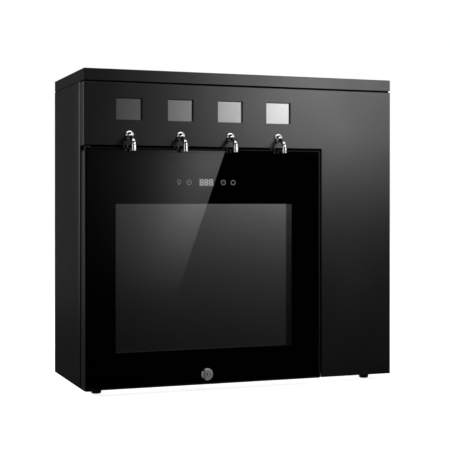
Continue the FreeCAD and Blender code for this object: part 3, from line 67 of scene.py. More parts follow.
# ------------------------------------------------------------------ node graphs
class Graph:
    """A short way to write the nodes of a new material, or those of owner where it is given."""

    def __init__(self, name, owner=None):
        self.owner = owner or bpy.data.materials.new(name)
        self.owner.use_nodes = True
        self.tree = self.owner.node_tree
        self.tree.nodes.clear()
        self.place = None

    def node(self, kind, inputs=None, **settings):
        made = self.tree.nodes.new(kind)
        for key, value in settings.items():
            setattr(made, key, value)
        for key, value in (inputs or {}).items():
            self.put(made.inputs[key], value)
        return made

    def put(self, socket, value):
        if isinstance(value, bpy.types.NodeSocket):
            self.tree.links.new(value, socket)
        elif value is not None:
            socket.default_value = value

    def coords(self):
        if self.place is None:
            self.place = self.node("ShaderNodeTexCoord").outputs["Object"]
        return self.place

    def axes(self):
        return self.node("ShaderNodeSeparateXYZ", {"Vector": self.coords()}).outputs

    def stretched(self, scale):
        mapping = {"Vector": self.coords(), "Scale": scale}
        return self.node("ShaderNodeMapping", mapping).outputs[0]

    def noise(self, scale, detail=3.0, rough=0.5, vector=None):
        return self.node(
            "ShaderNodeTexNoise",
            {"Vector": vector or self.coords(), "Scale": scale, "Detail": detail, "Roughness": rough},
        ).outputs["Fac"]

    def cells(self, scale, output="Distance"):
        made = self.node("ShaderNodeTexVoronoi", {"Vector": self.coords(), "Scale": scale})
        return made.outputs[output]

    def waves(self, scale, direction):
        made = self.node(
            "ShaderNodeTexWave", {"Vector": self.coords(), "Scale": scale}, bands_direction=direction
        )
        return made.outputs["Fac"]

    def span(self, value, low, high, to_low=0.0, to_high=1.0, **settings):
        """value from low..high carried to to_low..to_high, and held at the ends."""
        limits = {"From Min": low, "From Max": high, "To Min": to_low, "To Max": to_high}
        return self.node("ShaderNodeMapRange", {"Value": value, **limits}, **settings).outputs["Result"]

    def smooth(self, value, low, high, to_low=0.0, to_high=1.0):
        """As span, with soft ends."""
        return self.span(value, low, high, to_low, to_high, interpolation_type="SMOOTHSTEP")

    def spread(self, noise, to_low=0.0, to_high=1.0):
        """The middle of a noise's range carried to to_low..to_high."""
        return self.span(noise, 0.3, 0.7, to_low, to_high)

    def maths(self, operation, a, b=None, c=None):
        made = self.node("ShaderNodeMath", operation=operation)
        for socket, value in zip(made.inputs, (a, b, c)):
            self.put(socket, value)
        return made.outputs[0]

    def blend(self, share, a, b):
        """Colour a where share is 0, and b where it is 1."""
        made = self.node("ShaderNodeMix", data_type="RGBA")
        for socket, value in zip((made.inputs[0], made.inputs[6], made.inputs[7]), (share, a, b)):
            self.put(socket, value)
        return made.outputs[2]

    def tint(self, value, colour, low=0.8, high=1.25):
        """colour, darker or paler with value."""
        dark = tuple(c * low for c in colour) + (1.0,)
        pale = tuple(min(1.0, c * high) for c in colour) + (1.0,)
        return self.blend(value, dark, pale)

    def ramp(self, value, low, high, stops):
        """A grey that follows stops, (level, grey) pairs in the units of value, between low and high."""
        made = self.node("ShaderNodeValToRGB", {"Fac": self.span(value, low, high)})
        spots = made.color_ramp.elements
        spots.remove(spots[1])
        for i, (level, grey) in enumerate(sorted(stops)):
            position = (level - low) / (high - low)
            spot = spots.new(position) if i else spots[0]
            spot.position = position
            spot.color = (grey, grey, grey, 1.0)
        return made.outputs["Color"]

    def bump(self, height, strength, distance, under=None):
        return self.node(
            "ShaderNodeBump",
            {"Height": height, "Strength": strength, "Distance": distance, "Normal": under},
        ).outputs[0]

    def shader(self, **inputs):
        """The Principled shader. Names are written with _ for a space."""
        made = self.node("ShaderNodeBsdfPrincipled")
        for key, value in inputs.items():
            self.put(made.inputs[key.replace("_", " ")], value)
        return made.outputs[0]

    def done(self, surface):
        out = self.node("ShaderNodeOutputMaterial")
        self.put(out.inputs["Surface"], surface)
        return self.owner


def rgb(*values):
    return tuple(values) if len(values) == 3 else (values[0],) * 3


# ------------------------------------------------------------------ materials
def baked_paint(g, colour):
    """The grit, the cloud and the fresh colour that the painted sheets share."""
    grit = g.noise(950.0, 2.0, 0.6)
    cloud = g.noise(7.0, 4.0, 0.55)
    return grit, cloud, g.tint(g.spread(cloud), colour, 0.86, 1.14)


def powder_coat(name, colour, roughness, painted_highlight=None):
    """Fine-texture baked paint: an even satin with a grain under a millimetre.

    The optional last argument, if given, is a function of the graph that gives where a highlight is painted
    into the paint's colour, and what colour it paints there.
    """
    g = Graph(name)
    grit, cloud, paint = baked_paint(g, colour)
    if painted_highlight:
        # painted highlight, blended into the paint's colour
        share, highlight_colour = painted_highlight(g)
        paint = g.blend(share, paint, highlight_colour)
    return g.done(
        g.shader(
            Base_Color=paint,
            Roughness=g.maths("ADD", g.spread(cloud, roughness - 0.02, roughness + 0.02),
                              g.spread(grit, -0.02, 0.02)),
            Normal=g.bump(grit, 0.10, 0.00006),
        )
    )


HIGHLIGHT_FROM, HIGHLIGHT_TO = 60 * MM, 560 * MM  # the heights over which the painted highlight grows, fading lower down as the light from above does


def painted_fold_highlight(g, value, low, high, stops):
    """Painted highlight: the paint drawn paler where the folds and the faces by them catch the light, and
    more so higher up.

    stops are (level in mm, grey) pairs along value, which runs from low to high. The first is fresh.
    """
    _, _, z = g.axes()
    highlight_colour = g.ramp(value, low, high, [(level * MM, grey) for level, grey in stops])
    fresh = g.ramp(value, low, high, [(low, stops[0][1]), (high, stops[0][1])])
    # more painted highlight higher up, where the light from above falls stronger
    return g.blend(g.smooth(z, HIGHLIGHT_FROM, HIGHLIGHT_TO), fresh, highlight_colour)


SIDE_INNER, SIDE_OUTER = 358.7 * MM, 359.2 * MM  # |X| from which a face belongs to the shell's side
COVER_FOOT, COVER_SOFT = 665.0 * MM, 0.2 * MM  # the top cover, above this level, gets no painted highlight
# Grey levels of the painted highlight along Y in mm: the side faces pale towards the front, with bright
# lines on the two folds.
SHELL_HIGHLIGHT_STOPS = (
    (-45, 0.0031), (-80, 0.010), (-90, 0.026), (-94, 0.09), (-95.8, 0.09), (-96.6, 0.01),
    (-97.5, 0.014), (-120, 0.016), (-128, 0.045), (-132.6, 0.06), (-133.3, 0.01),
)


def shell_painted_highlight(g):
    """Painted highlight on the shell's two folds, where the side panels end and where the fascia turns to
    the front, and on the side faces paling towards them.
    """
    x, y, z = g.axes()
    flank = g.smooth(g.maths("ABSOLUTE", x), SIDE_INNER, SIDE_OUTER)
    below = g.smooth(z, COVER_FOOT - COVER_SOFT, COVER_FOOT + COVER_SOFT, 1.0, 0.0)
    return g.maths("MULTIPLY", flank, below), painted_fold_highlight(g, y, -134 * MM, -45 * MM, SHELL_HIGHLIGHT_STOPS)


# Grey levels of the painted highlight on the door's left flank, along Y in mm.
DOOR_HIGHLIGHT_STOPS = ((-108, 0.008), (-120, 0.020), (-131, 0.042), (-138, 0.024), (-142, 0.005))


def framed_door(name, colour, roughness, lip_roughness):
    """The door's satin coat, with a flat and more metallic lip round the glass, and a painted highlight
    that makes its left flank paler towards the front.
    """
    g = Graph(name)
    x, y, _ = g.axes()
    behind = g.smooth(y, DOOR_FACE + 0.3 * MM, DOOR_FACE + 0.8 * MM)
    edge = g.smooth(x, DOOR_LEFT + 0.3 * MM, DOOR_LEFT + 0.6 * MM, 1.0, 0.0)
    bright = g.smooth(x, DOOR_LEFT + 4.5 * MM, DOOR_LEFT + 8.0 * MM, 1.0, 0.6)
    grit, _, paint = baked_paint(g, colour)
    # painted highlight colour, which only the left flank gets
    highlight_colour = painted_fold_highlight(g, y, -144 * MM, -100 * MM, DOOR_HIGHLIGHT_STOPS)
    level = g.maths("MULTIPLY_ADD", behind, roughness - lip_roughness, lip_roughness)
    return g.done(
        g.shader(
            Base_Color=g.blend(g.maths("MULTIPLY", behind, edge), paint, highlight_colour),
            Metallic=g.maths("MULTIPLY", bright, g.maths("SUBTRACT", 1.0, behind)),
            Roughness=g.maths("ADD", level, g.spread(grit, -0.03, 0.03)),
            Normal=g.bump(grit, 0.06, 0.00006),
        )
    )


def liner_behind_flange(g):
    """0 on the liner's front flange, which the gasket meets, and 1 behind it."""
    _, y, _ = g.axes()
    return g.smooth(y, LINER_FACE + 2.2 * MM, LINER_FACE + 3.0 * MM)


def moulded(name, colour, roughness, grain=0.35, shown=None):
    """Moulded plastic or rubber with a spark-eroded skin, black where shown(graph) is 0."""
    g = Graph(name)
    cloud = g.noise(11.0, 4.0, 0.6)
    shade = g.spread(cloud)
    face = g.tint(shade, colour, 0.85, 1.15)
    if shown:
        face = g.blend(shown(g), g.tint(shade, rgb(0.0015), 0.85, 1.15), face)
    return g.done(
        g.shader(
            Base_Color=face,
            Roughness=g.spread(cloud, roughness - 0.05, roughness + 0.05),
            Normal=g.bump(g.cells(700.0), grain, 0.0001),
        )
    )


def brushed(name, colour, roughness, along):
    """Drawn or brushed metal: scratches stretched along one axis."""
    g = Graph(name)
    lines = g.noise(420.0, 4.0, 0.7, g.stretched(along))
    return g.done(
        g.shader(
            Base_Color=g.tint(g.spread(g.noise(9.0)), colour, 0.92, 1.05),
            Metallic=1.0,
            Roughness=g.span(lines, 0.25, 0.75, roughness - 0.07, roughness + 0.09),
            Normal=g.bump(lines, 0.12, 0.0001),
        )
    )


def galvanised(name):
    """Hot-dip sheet with its crystal spangle."""
    g = Graph(name)
    shade = g.node("ShaderNodeRGBToBW", {"Color": g.cells(85.0, "Color")}).outputs[0]
    cloud = g.noise(14.0, 5.0, 0.6)
    return g.done(
        g.shader(
            Base_Color=g.tint(shade, rgb(0.52, 0.53, 0.54), 0.82, 1.12),
            Metallic=1.0,
            Roughness=g.maths("ADD", g.span(shade, 0.2, 0.8, 0.30, 0.46),
                              g.spread(cloud, -0.04, 0.06)),
            Normal=g.bump(shade, 0.05, 0.0002, g.bump(cloud, 0.06, 0.0004)),
        )
    )


def chrome(name, colour, roughness):
    """Polished plating with faint wipe marks."""
    g = Graph(name)
    wipe = g.noise(60.0, 5.0, 0.65, g.stretched((1.0, 1.0, 0.3)))
    return g.done(
        g.shader(
            Base_Color=g.tint(g.spread(wipe), colour, 0.96, 1.03),
            Metallic=1.0,
            Roughness=g.span(wipe, 0.35, 0.7, roughness, roughness + 0.05),
            Normal=g.bump(g.noise(260.0, 2.0), 0.012, 0.0002),
        )
    )


def satin_metal(name, colour, roughness, metal):
    """Blasted and lacquered casting: it scatters as much as it mirrors."""
    g = Graph(name)
    grit = g.noise(900.0, 3.0, 0.6)
    wipe = g.noise(60.0, 5.0, 0.65)
    return g.done(
        g.shader(
            Base_Color=g.tint(g.spread(wipe), colour, 0.93, 1.05),
            Metallic=metal,
            Roughness=g.spread(grit, roughness - 0.05, roughness + 0.05),
            Normal=g.bump(grit, 0.08, 0.0001),
        )
    )


def matt_black(name, grey, roughness):
    """Dead flat black, for rubber, and as painted shade for what lies in a gap or a hollow."""
    g = Graph(name)
    cloud = g.noise(40.0, 4.0, 0.6)
    return g.done(
        g.shader(
            Base_Color=g.tint(g.spread(cloud), rgb(grey), 0.85, 1.15),
            Roughness=g.spread(cloud, roughness - 0.05, roughness + 0.05),
            Specular_IOR_Level=0.1,
            Normal=g.bump(g.noise(900.0, 2.0), 0.1, 0.00005),
        )
    )


PRINT_BLACK = rgb(0.0004)
PANE_IOR, WINDOW_IOR = 1.77, 2.15  # the window also mirrors from the faces behind the outer one
PANE_WAVE = (0.004, 0.0002)  # strength and height of the pane's unevenness


def black_pane(name):
    """Glass printed black behind: a deep black under a polished face."""
    g = Graph(name)
    cloud = g.noise(5.0, 4.0, 0.6)
    dust = g.noise(150.0, 5.0, 0.7)
    return g.done(
        g.shader(
            Base_Color=g.tint(g.spread(cloud), PRINT_BLACK, 0.8, 1.2),
            Specular_IOR_Level=0.0,
            Roughness=g.spread(dust, 0.31, 0.35),
            Coat_Weight=1.0,
            Coat_IOR=PANE_IOR,
            Coat_Roughness=0.015,
            Coat_Normal=g.bump(dust, *PANE_WAVE),
        )
    )


WINDOW = ((-294 * MM, 108 * MM), (91 * MM, 405.6 * MM))  # the clear field: X span and Z span
PRINT_SOFT = 0.3 * MM  # half the width over which the printed border ends
SILL_LOW, SILL_HIGH = 1.0 * MM, 4.0 * MM  # the same below and above the field's lower edge
RAIL_SHADE_OUT, RAIL_SHADE_IN = 15.5 * MM, 11.5 * MM  # painted shade: the frame's inner wall, seen through the glass, shows dark within this of the right edge


def smoked_glass(name):
    """The door's outer pane: a printed border round a smoked field with a satin film behind it, darkened
    along its right edge by painted shade of the frame's inner wall.
    """
    g = Graph(name)
    x, _, z = g.axes()
    (left, right), (low, high) = WINDOW
    inside = g.smooth(x, left - PRINT_SOFT, left + PRINT_SOFT)
    for share in (
        g.smooth(x, right - PRINT_SOFT, right + PRINT_SOFT, 1.0, 0.0),
        g.smooth(z, low - SILL_LOW, low + SILL_HIGH),
        g.smooth(z, high - PRINT_SOFT, high + PRINT_SOFT, 1.0, 0.0),
    ):
        inside = g.maths("MULTIPLY", inside, share)
    film = g.noise(620.0, 3.0, 0.6)
    dust = g.noise(150.0, 5.0, 0.7)
    shade = g.spread(g.noise(5.0, 4.0, 0.6))
    border = g.tint(shade, PRINT_BLACK, 0.8, 1.2)
    field = g.tint(shade, rgb(0.155, 0.155, 0.156), 0.95, 1.05)
    # painted shade of the frame's inner wall along the field's right edge
    rail_shade = g.tint(shade, rgb(0.043), 0.95, 1.05)
    field = g.blend(g.smooth(x, right - RAIL_SHADE_OUT, right - RAIL_SHADE_IN), field, rail_shade)
    return g.done(
        g.shader(
            Base_Color=g.blend(g.maths("POWER", inside, 3.0), border, field),
            Metallic=inside,
            Specular_IOR_Level=0.0,
            Roughness=g.spread(film, 0.31, 0.35),
            Coat_Weight=1.0,
            Coat_IOR=g.span(inside, 0.0, 1.0, PANE_IOR, WINDOW_IOR),
            Coat_Roughness=0.015,
            Coat_Normal=g.bump(dust, *PANE_WAVE),
            Normal=g.bump(film, 0.06, 0.0001),
        )
    )


def clear_glass(name):
    """Float glass with a trace of dust."""
    g = Graph(name)
    dust = g.noise(90.0, 5.0, 0.7)
    return g.done(
        g.shader(
            Base_Color=g.tint(g.span(dust, 0.35, 0.65), rgb(0.55, 0.57, 0.57), 0.95, 1.05),
            Roughness=g.span(dust, 0.45, 0.75, 0.01, 0.05),
            IOR=1.5,
            Transmission_Weight=1.0,
        )
    )


def touch_screen(name):
    """A half-mirror lens over a dark screen."""
    g = Graph(name)
    film = g.noise(500.0, 3.0, 0.6)
    cloud = g.noise(22.0, 4.0, 0.6)
    return g.done(
        g.shader(
            Base_Color=g.tint(g.spread(cloud), rgb(0.21, 0.211, 0.213), 0.96, 1.04),
            Metallic=1.0,
            Roughness=g.spread(film, 0.31, 0.35),
            Normal=g.bump(film, 0.04, 0.0001),
        )
    )


def diffuser(name):
    """A ribbed milky lamp cover."""
    g = Graph(name)
    cloud = g.noise(40.0)
    return g.done(
        g.shader(
            Base_Color=g.tint(g.spread(cloud), rgb(0.80, 0.80, 0.78), 0.96, 1.03),
            Roughness=g.spread(cloud, 0.35, 0.45),
            Transmission_Weight=0.25,
            Normal=g.bump(g.waves(90.0, "X"), 0.25, 0.0003),
        )
    )


def rigid_foam(name):
    """Cut polyurethane foam with its open pores."""
    g = Graph(name)
    cloud = g.noise(16.0, 5.0, 0.6)
    return g.done(
        g.shader(
            Base_Color=g.tint(g.spread(cloud), rgb(0.72, 0.66, 0.46), 0.82, 1.1),
            Roughness=g.spread(cloud, 0.8, 0.95),
            Normal=g.bump(g.cells(520.0), 0.6, 0.0006),
        )
    )


def circuit_board(name):
    """Green solder mask with copper runs under it."""
    g = Graph(name)
    runs = g.node(
        "ShaderNodeTexBrick",
        {"Vector": g.stretched((1.0, 1.0, 1.0)), "Scale": 160.0, "Mortar Size": 0.09, "Mortar Smooth": 0.1},
    ).outputs["Fac"]
    mask = g.tint(g.spread(g.noise(60.0, 4.0)), rgb(0.012, 0.09, 0.045), 0.8, 1.2)
    return g.done(
        g.shader(
            Base_Color=g.blend(runs, mask, (0.05, 0.17, 0.07, 1.0)),
            Roughness=g.span(runs, 0.0, 1.0, 0.32, 0.42),
            Normal=g.bump(runs, 0.4, 0.0001),
        )
    )


def enamel(name, colour):
    """Thick gloss enamel with orange peel, as on a compressor shell."""
    g = Graph(name)
    peel = g.noise(260.0, 2.0, 0.4)
    cloud = g.noise(12.0, 4.0)
    return g.done(
        g.shader(
            Base_Color=g.tint(g.spread(cloud), colour, 0.8, 1.2),
            Roughness=g.spread(cloud, 0.14, 0.24),
            Normal=g.bump(peel, 0.12, 0.0004),
        )
    )


def aluminium_fins(name):
    """The close rows of fins across a condenser's face."""
    g = Graph(name)
    cloud = g.noise(18.0, 4.0)
    return g.done(
        g.shader(
            Base_Color=g.tint(g.spread(cloud), rgb(0.74, 0.74, 0.75), 0.85, 1.05),
            Metallic=1.0,
            Roughness=g.spread(cloud, 0.3, 0.45),
            Normal=g.bump(g.waves(130.0, "Y"), 0.35, 0.0004),
        )
    )


def printed(name, grey):
    """A flat ink."""
    g = Graph(name)
    cloud = g.noise(300.0, 3.0)
    return g.done(
        g.shader(
            Base_Color=g.tint(g.spread(cloud), rgb(grey), 0.9, 1.05),
            Roughness=g.spread(cloud, 0.4, 0.5),
            Normal=g.bump(cloud, 0.05, 0.0001),
        )
    )


PAINT = rgb(0.0031, 0.0031, 0.0032)
SLOTS = {
    "shell_paint": powder_coat("shell_paint", PAINT, 0.36, shell_painted_highlight),
    "door_paint": framed_door("door_paint", PAINT, 0.34, 0.58),
    "zinc_sheet": galvanised("zinc_sheet"),
    "foot_rubber": matt_black("foot_rubber", 0.0012, 0.85),
    "liner_plastic": moulded("liner_plastic", rgb(0.045, 0.045, 0.048), 0.5, shown=liner_behind_flange),
    "foam": rigid_foam("foam"),
    "lamp_diffuser": diffuser("lamp_diffuser"),
    "fan_plastic": moulded("fan_plastic", rgb(0.02, 0.02, 0.022), 0.42, 0.25),
    "steel_line": brushed("steel_line", rgb(0.66, 0.66, 0.65), 0.26, (1.0, 0.1, 1.0)),
    "moulding": moulded("moulding", rgb(0.016), 0.48),
    "lift_plastic": moulded("lift_plastic", rgb(0.06, 0.06, 0.064), 0.45),
    "head_steel": brushed("head_steel", rgb(0.66, 0.66, 0.66), 0.24, (1.0, 1.0, 14.0)),
    "display_glass": touch_screen("display_glass"),
    "tap_chrome": chrome("tap_chrome", rgb(0.80, 0.80, 0.81), 0.06),
    "header_gloss": black_pane("header_gloss"),
    "black_glass": smoked_glass("black_glass"),
    "clear_glass": clear_glass("clear_glass"),
    "gasket_rubber": moulded("gasket_rubber", rgb(0.003), 0.75, 0.4),
    "circuit": circuit_board("circuit"),
    "hinge_steel": powder_coat("hinge_steel", rgb(0.012, 0.012, 0.013), 0.3),
    "lock_chrome": satin_metal("lock_chrome", rgb(0.40), 0.36, 0.55),
    "compressor_paint": enamel("compressor_paint", rgb(0.008)),
    "fin_aluminium": aluminium_fins("fin_aluminium"),
    "fitting_plastic": moulded("fitting_plastic", rgb(0.02), 0.35, 0.2),
}

for part in frame["record"]["subparts"]:
    for place in nodes[part["node"]].material_slots:
        place.material = SLOTS[part["material_slot"]]
# The neck frame gets a dead flat black as painted shade, so the gap under the cap reads black.
for place in nodes["neck_frame"].material_slots:
    place.material = matt_black("neck_painted_shade", 0.0009, 0.8)


# ------------------------------------------------------------------ ways to make a piece
def put_in(name, mesh, material, body):
    """A mesh made into a piece that rides a body, with the material it is given."""
    bmesh.ops.recalc_face_normals(mesh, faces=mesh.faces)
    data = bpy.data.meshes.new(name)
    mesh.to_mesh(data)
    mesh.free()
    data.materials.append(material)
    piece = bpy.data.objects.new(name, data)
    bpy.context.scene.collection.objects.link(piece)
    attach(piece, body)
    return piece


SHARP = math.radians(35.0)


def smooth_shaded(piece):
    for face in piece.data.polygons:
        face.use_smooth = True
    piece.data.set_sharp_from_angle(angle=SHARP)
    return piece


def skin(mesh, rings):
    """Faces between rings of vertices, and a cap on each end."""
    count = len(rings[0])
    for low, high in zip(rings, rings[1:]):
        for i in range(count):
            j = (i + 1) % count
            mesh.faces.new((low[i], low[j], high[j], high[i]))
    mesh.faces.new(rings[0])
    mesh.faces.new(rings[-1])


def round_ring(mesh, middle, across, other, radius, sides):
    """A circle of vertices in the plane of across and other."""
    turns = [2 * math.pi * i / sides for i in range(sides)]
    return [mesh.verts.new(middle + (across * math.cos(a) + other * math.sin(a)) * radius) for a in turns]


def turned(mesh, profile, place, axis, sides=64):
    """A lathe form: profile is (distance along axis, radius) pairs, from one end to the other."""
    axis = Vector(axis).normalized()
    across = axis.orthogonal().normalized()
    other = axis.cross(across)
    skin(mesh, [
        round_ring(mesh, Vector(place) + axis * along, across, other, radius, sides)
        for along, radius in profile
    ])


def bent_tube(mesh, points, radius, sides=40):
    """A round tube along points that lie in one plane across X."""
    across = Vector((1, 0, 0))
    rings = []
    for i, point in enumerate(points):
        ahead = (points[min(i + 1, len(points) - 1)] - points[max(i - 1, 0)]).normalized()
        rings.append(round_ring(mesh, point, across, ahead.cross(across), radius, sides))
    skin(mesh, rings)


def prism(mesh, outline, axis, start, finish):
    """outline is a flat loop of points in the two other axes, carried along axis from start to finish."""
    rings = []
    for level in (start, finish):
        ring = []
        for a, b in outline:
            spot = [a, b]
            spot.insert(axis, level)
            ring.append(mesh.verts.new(spot))
        rings.append(ring)
    skin(mesh, rings)


def stroke(points, width, closed=False):
    """The outline, as quads, of a line of that width through points, which are (x, z)."""
    count = len(points)
    sides = []
    for i, (x, z) in enumerate(points):
        before = points[(i - 1) % count] if closed or i else (x, z)
        after = points[(i + 1) % count] if closed or i < count - 1 else (x, z)
        along = Vector((after[0] - before[0], after[1] - before[1])).normalized()
        off = Vector((-along.y, along.x)) * width / 2
        sides.append(((x + off.x, z + off.y), (x - off.x, z - off.y)))
    last = count if closed else count - 1
    return [
        (sides[i][0], sides[i][1], sides[(i + 1) % count][1], sides[(i + 1) % count][0])
        for i in range(last)
    ]


def arc(x, z, radius, start=0.0, turn=360.0, steps=32):
    """Points round (x, z), through turn degrees from start. A full circle isn't closed on itself."""
    angles = [math.radians(start + turn * i / steps) for i in range(steps + (turn < 360.0))]
    return [(x + radius * math.cos(a), z + radius * math.sin(a)) for a in angles]


MARK_DEPTH = 0.12 * MM
WELD = 0.01 * MM  # corners of neighbouring polygons that lie closer than this are one


def raised(name, material, polygons, face=GLASS_FACE, body="door"):
    """A thin print of polygons, given as (x, z) points, that stands on the face at that Y."""
    mesh = bmesh.new()
    for polygon in polygons:
        mesh.faces.new([mesh.verts.new((x, face, z)) for x, z in polygon])
    bmesh.ops.remove_doubles(mesh, verts=mesh.verts, dist=WELD)
    pushed = bmesh.ops.extrude_face_region(mesh, geom=list(mesh.faces))["geom"]
    for vertex in (item for item in pushed if isinstance(item, bmesh.types.BMVert)):
        vertex.co.y -= MARK_DEPTH
    put_in(name, mesh, material, body)


# ------------------------------------------------------------------ taps
COLLAR, DOME, TUBE = 10.0 * MM, 11.5 * MM, 4.35 * MM  # radii
RIM, RIM_EDGE = 1.4 * MM, 0.3 * MM  # the collar's rise off the fascia, and its broken edge
DOME_STEPS, BEND_STEPS = 24, 28
ROOT_OUT, ROOT_DOWN = 3.0 * MM, 1.5 * MM  # the tube's start, from the fascia and the collar's middle
PLUMB_DOWN = 19.0 * MM  # how far below the collar's middle the tube is plumb
LEAD, LAG = Vector((0, -12.3, -6.7)) * MM, Vector((0, 0, 8.5)) * MM  # what draws the bend at its ends
TIP_LAP = 0.6 * MM  # how far the tube stops above the foot of its nozzle


def collar_profile():
    """A thin rim and a dome on it."""
    sink = math.sqrt(DOME ** 2 - COLLAR ** 2) - RIM  # how deep in the fascia the dome's middle lies
    steep = math.asin(COLLAR / DOME)
    profile = [(0.0, COLLAR - RIM_EDGE), (RIM_EDGE, COLLAR), (RIM, COLLAR)]
    for i in range(1, DOME_STEPS + 1):
        angle = steep * (1 - i / DOME_STEPS)
        profile.append((DOME * math.cos(angle) - sink, max(DOME * math.sin(angle), 0.05 * MM)))
    return profile


def bend(start, end):
    """Points of the tube's middle line from start to where it is plumb."""
    lead, lag = start + LEAD, end + LAG
    line = []
    for i in range(BEND_STEPS + 1):
        t = i / BEND_STEPS
        s = 1 - t
        line.append(start * s ** 3 + lead * 3 * t * s ** 2 + lag * 3 * t * t * s + end * t ** 3)
    return line


def tap(number):
    """A spout that leaves its domed collar sloping down and hangs plumb in its nozzle."""
    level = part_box(f"spout_{number}")[1].z - COLLAR
    sleeve_low, sleeve_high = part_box(f"nozzle_{number}")
    x, reach = (sleeve_low.x + sleeve_high.x) / 2, (sleeve_low.y + sleeve_high.y) / 2
    mesh = bmesh.new()
    turned(mesh, collar_profile(), (x, FASCIA_FACE, level), (0, -1, 0))
    line = bend(
        Vector((x, FASCIA_FACE - ROOT_OUT, level - ROOT_DOWN)), Vector((x, reach, level - PLUMB_DOWN))
    )
    line.append(Vector((x, reach, sleeve_low.z + TIP_LAP)))
    bent_tube(mesh, line, TUBE)
    piece = smooth_shaded(put_in(f"tap_{number}", mesh, SLOTS["tap_chrome"], "cabinet"))
    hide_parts(f"spout_{number}")
    return piece


taps = [tap(number) for number in TAPS]


# ------------------------------------------------------------------ trim and screws
LIP_TALL, LIP_WIDE = 2.3 * MM, 3.9 * MM
END_THICK, END_DEEP = 0.4 * MM, 8.0 * MM
SKIM = 0.05 * MM  # how far the trim stands off the header's faces


def header_trim():
    """The flat black lip along the header's top and right edge, and its satin left end."""
    left, right, low, face = HEADER_LOW.x, HEADER_HIGH.x, HEADER_LOW.z, HEADER_LOW.y
    loop = [
        (left + END_THICK, HEADER_TOP - LIP_TALL),
        (right - LIP_WIDE, HEADER_TOP - LIP_TALL),
        (right - LIP_WIDE, low),
        (right, low),
        (right, HEADER_TOP),
        (left + END_THICK, HEADER_TOP),
    ]
    mesh = bmesh.new()
    prism(mesh, loop, 1, face - SKIM, face + SKIM)
    put_in("header_lip", mesh, framed_door("header_lip", PAINT, 0.58, 0.58), "cabinet")
    end = [(face, low), (face, HEADER_TOP), (face + END_DEEP, HEADER_TOP), (face + END_DEEP, low)]
    mesh = bmesh.new()
    prism(mesh, end, 0, left - SKIM, left + END_THICK)
    put_in("header_end", mesh, SLOTS["door_paint"], "cabinet")


def screw_head(mesh, place, axis, radius, rise):
    """A pan head with a round socket."""
    profile = [(0.0, radius), (rise * 0.35, radius), (rise * 0.75, radius * 0.8), (rise, radius * 0.45)]
    profile += [(rise * 0.98, radius * 0.4), (rise * 0.45, radius * 0.4), (rise * 0.4, radius * 0.05)]
    turned(mesh, profile, place, axis, 24)


def header_screws():
    """The two small screws at the left end of the header's top."""
    mesh = bmesh.new()
    for inset in (3.6 * MM, 8.7 * MM):
        spot = (HEADER_LOW.x + inset, HEADER_LOW.y + 4.5 * MM, HEADER_TOP)
        screw_head(mesh, spot, (0, 0, 1), 1.5 * MM, 1.9 * MM)
    steel = satin_metal("dark_steel", rgb(0.07), 0.4, 0.5)
    smooth_shaded(put_in("header_screws", mesh, steel, "cabinet"))


REAR_INSET, REAR_SPACES = 9.0 * MM, 4


def rear_screws():
    """Pan heads that hold the rear panel to the side panels, the cap and the base pan."""
    low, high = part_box("rear_panel")
    columns, levels = [
        [start + REAR_INSET + (end - start - 2 * REAR_INSET) * i / REAR_SPACES
         for i in range(REAR_SPACES + 1)]
        for start, end in ((low.x, high.x), (low.z, high.z))
    ]
    spots = [(x, z) for x in columns for z in (levels[0], levels[-1])]
    spots += [(x, z) for z in levels[1:-1] for x in (columns[0], columns[-1])]
    mesh = bmesh.new()
    for x, z in spots:
        screw_head(mesh, (x, high.y, z), (0, 1, 0), 3.4 * MM, 2.0 * MM)
    smooth_shaded(put_in("rear_screws", mesh, SLOTS["head_steel"], "cabinet"))


header_trim()
header_screws()
rear_screws()


# ------------------------------------------------------------------ marks on the door's glass
MARK_LEVEL = 452 * MM  # the touch row's middle above the floor
MARK_LINE = 1.1 * MM
BULB_X, TIMER_X, PANEL_X, CLOCK_X, RING_X = -154.4 * MM, -131.8 * MM, -92.5 * MM, -53.4 * MM, -30.7 * MM
PANEL_HALF, PANEL_TALL = 17.2 * MM, 8.5 * MM
FIGURE_WIDE, FIGURE_TALL, FIGURE_PITCH, FIGURE_BAR = 6.6 * MM, 11.4 * MM, 10.6 * MM, 1.3 * MM


def bulb(x, z):
    glass = arc(x, z + 1.6 * MM, 3.3 * MM, -55.0, 290.0)
    cap = [(x - 1.5 * MM, z - 2.8 * MM), (x + 1.5 * MM, z - 2.8 * MM)]
    tip = [(x - 1.1 * MM, z - 4.6 * MM), (x + 1.1 * MM, z - 4.6 * MM)]
    return stroke(glass, MARK_LINE) + stroke(cap, 1.4 * MM) + stroke(tip, 1.9 * MM)


def clock(x, z):
    hands = [(x - 2.2 * MM, z + 2.2 * MM), (x, z), (x + 2.8 * MM, z - 0.6 * MM)]
    return stroke(arc(x, z, 5.1 * MM), MARK_LINE, True) + stroke(hands, 0.5 * MARK_LINE)


def ring(x, z):
    return stroke(arc(x, z, 4.7 * MM), MARK_LINE, True)


def panel(x, z):
    return [[
        (x - PANEL_HALF, z - PANEL_TALL),
        (x + PANEL_HALF, z - PANEL_TALL),
        (x + PANEL_HALF, z + PANEL_TALL),
        (x - PANEL_HALF, z + PANEL_TALL),
    ]]


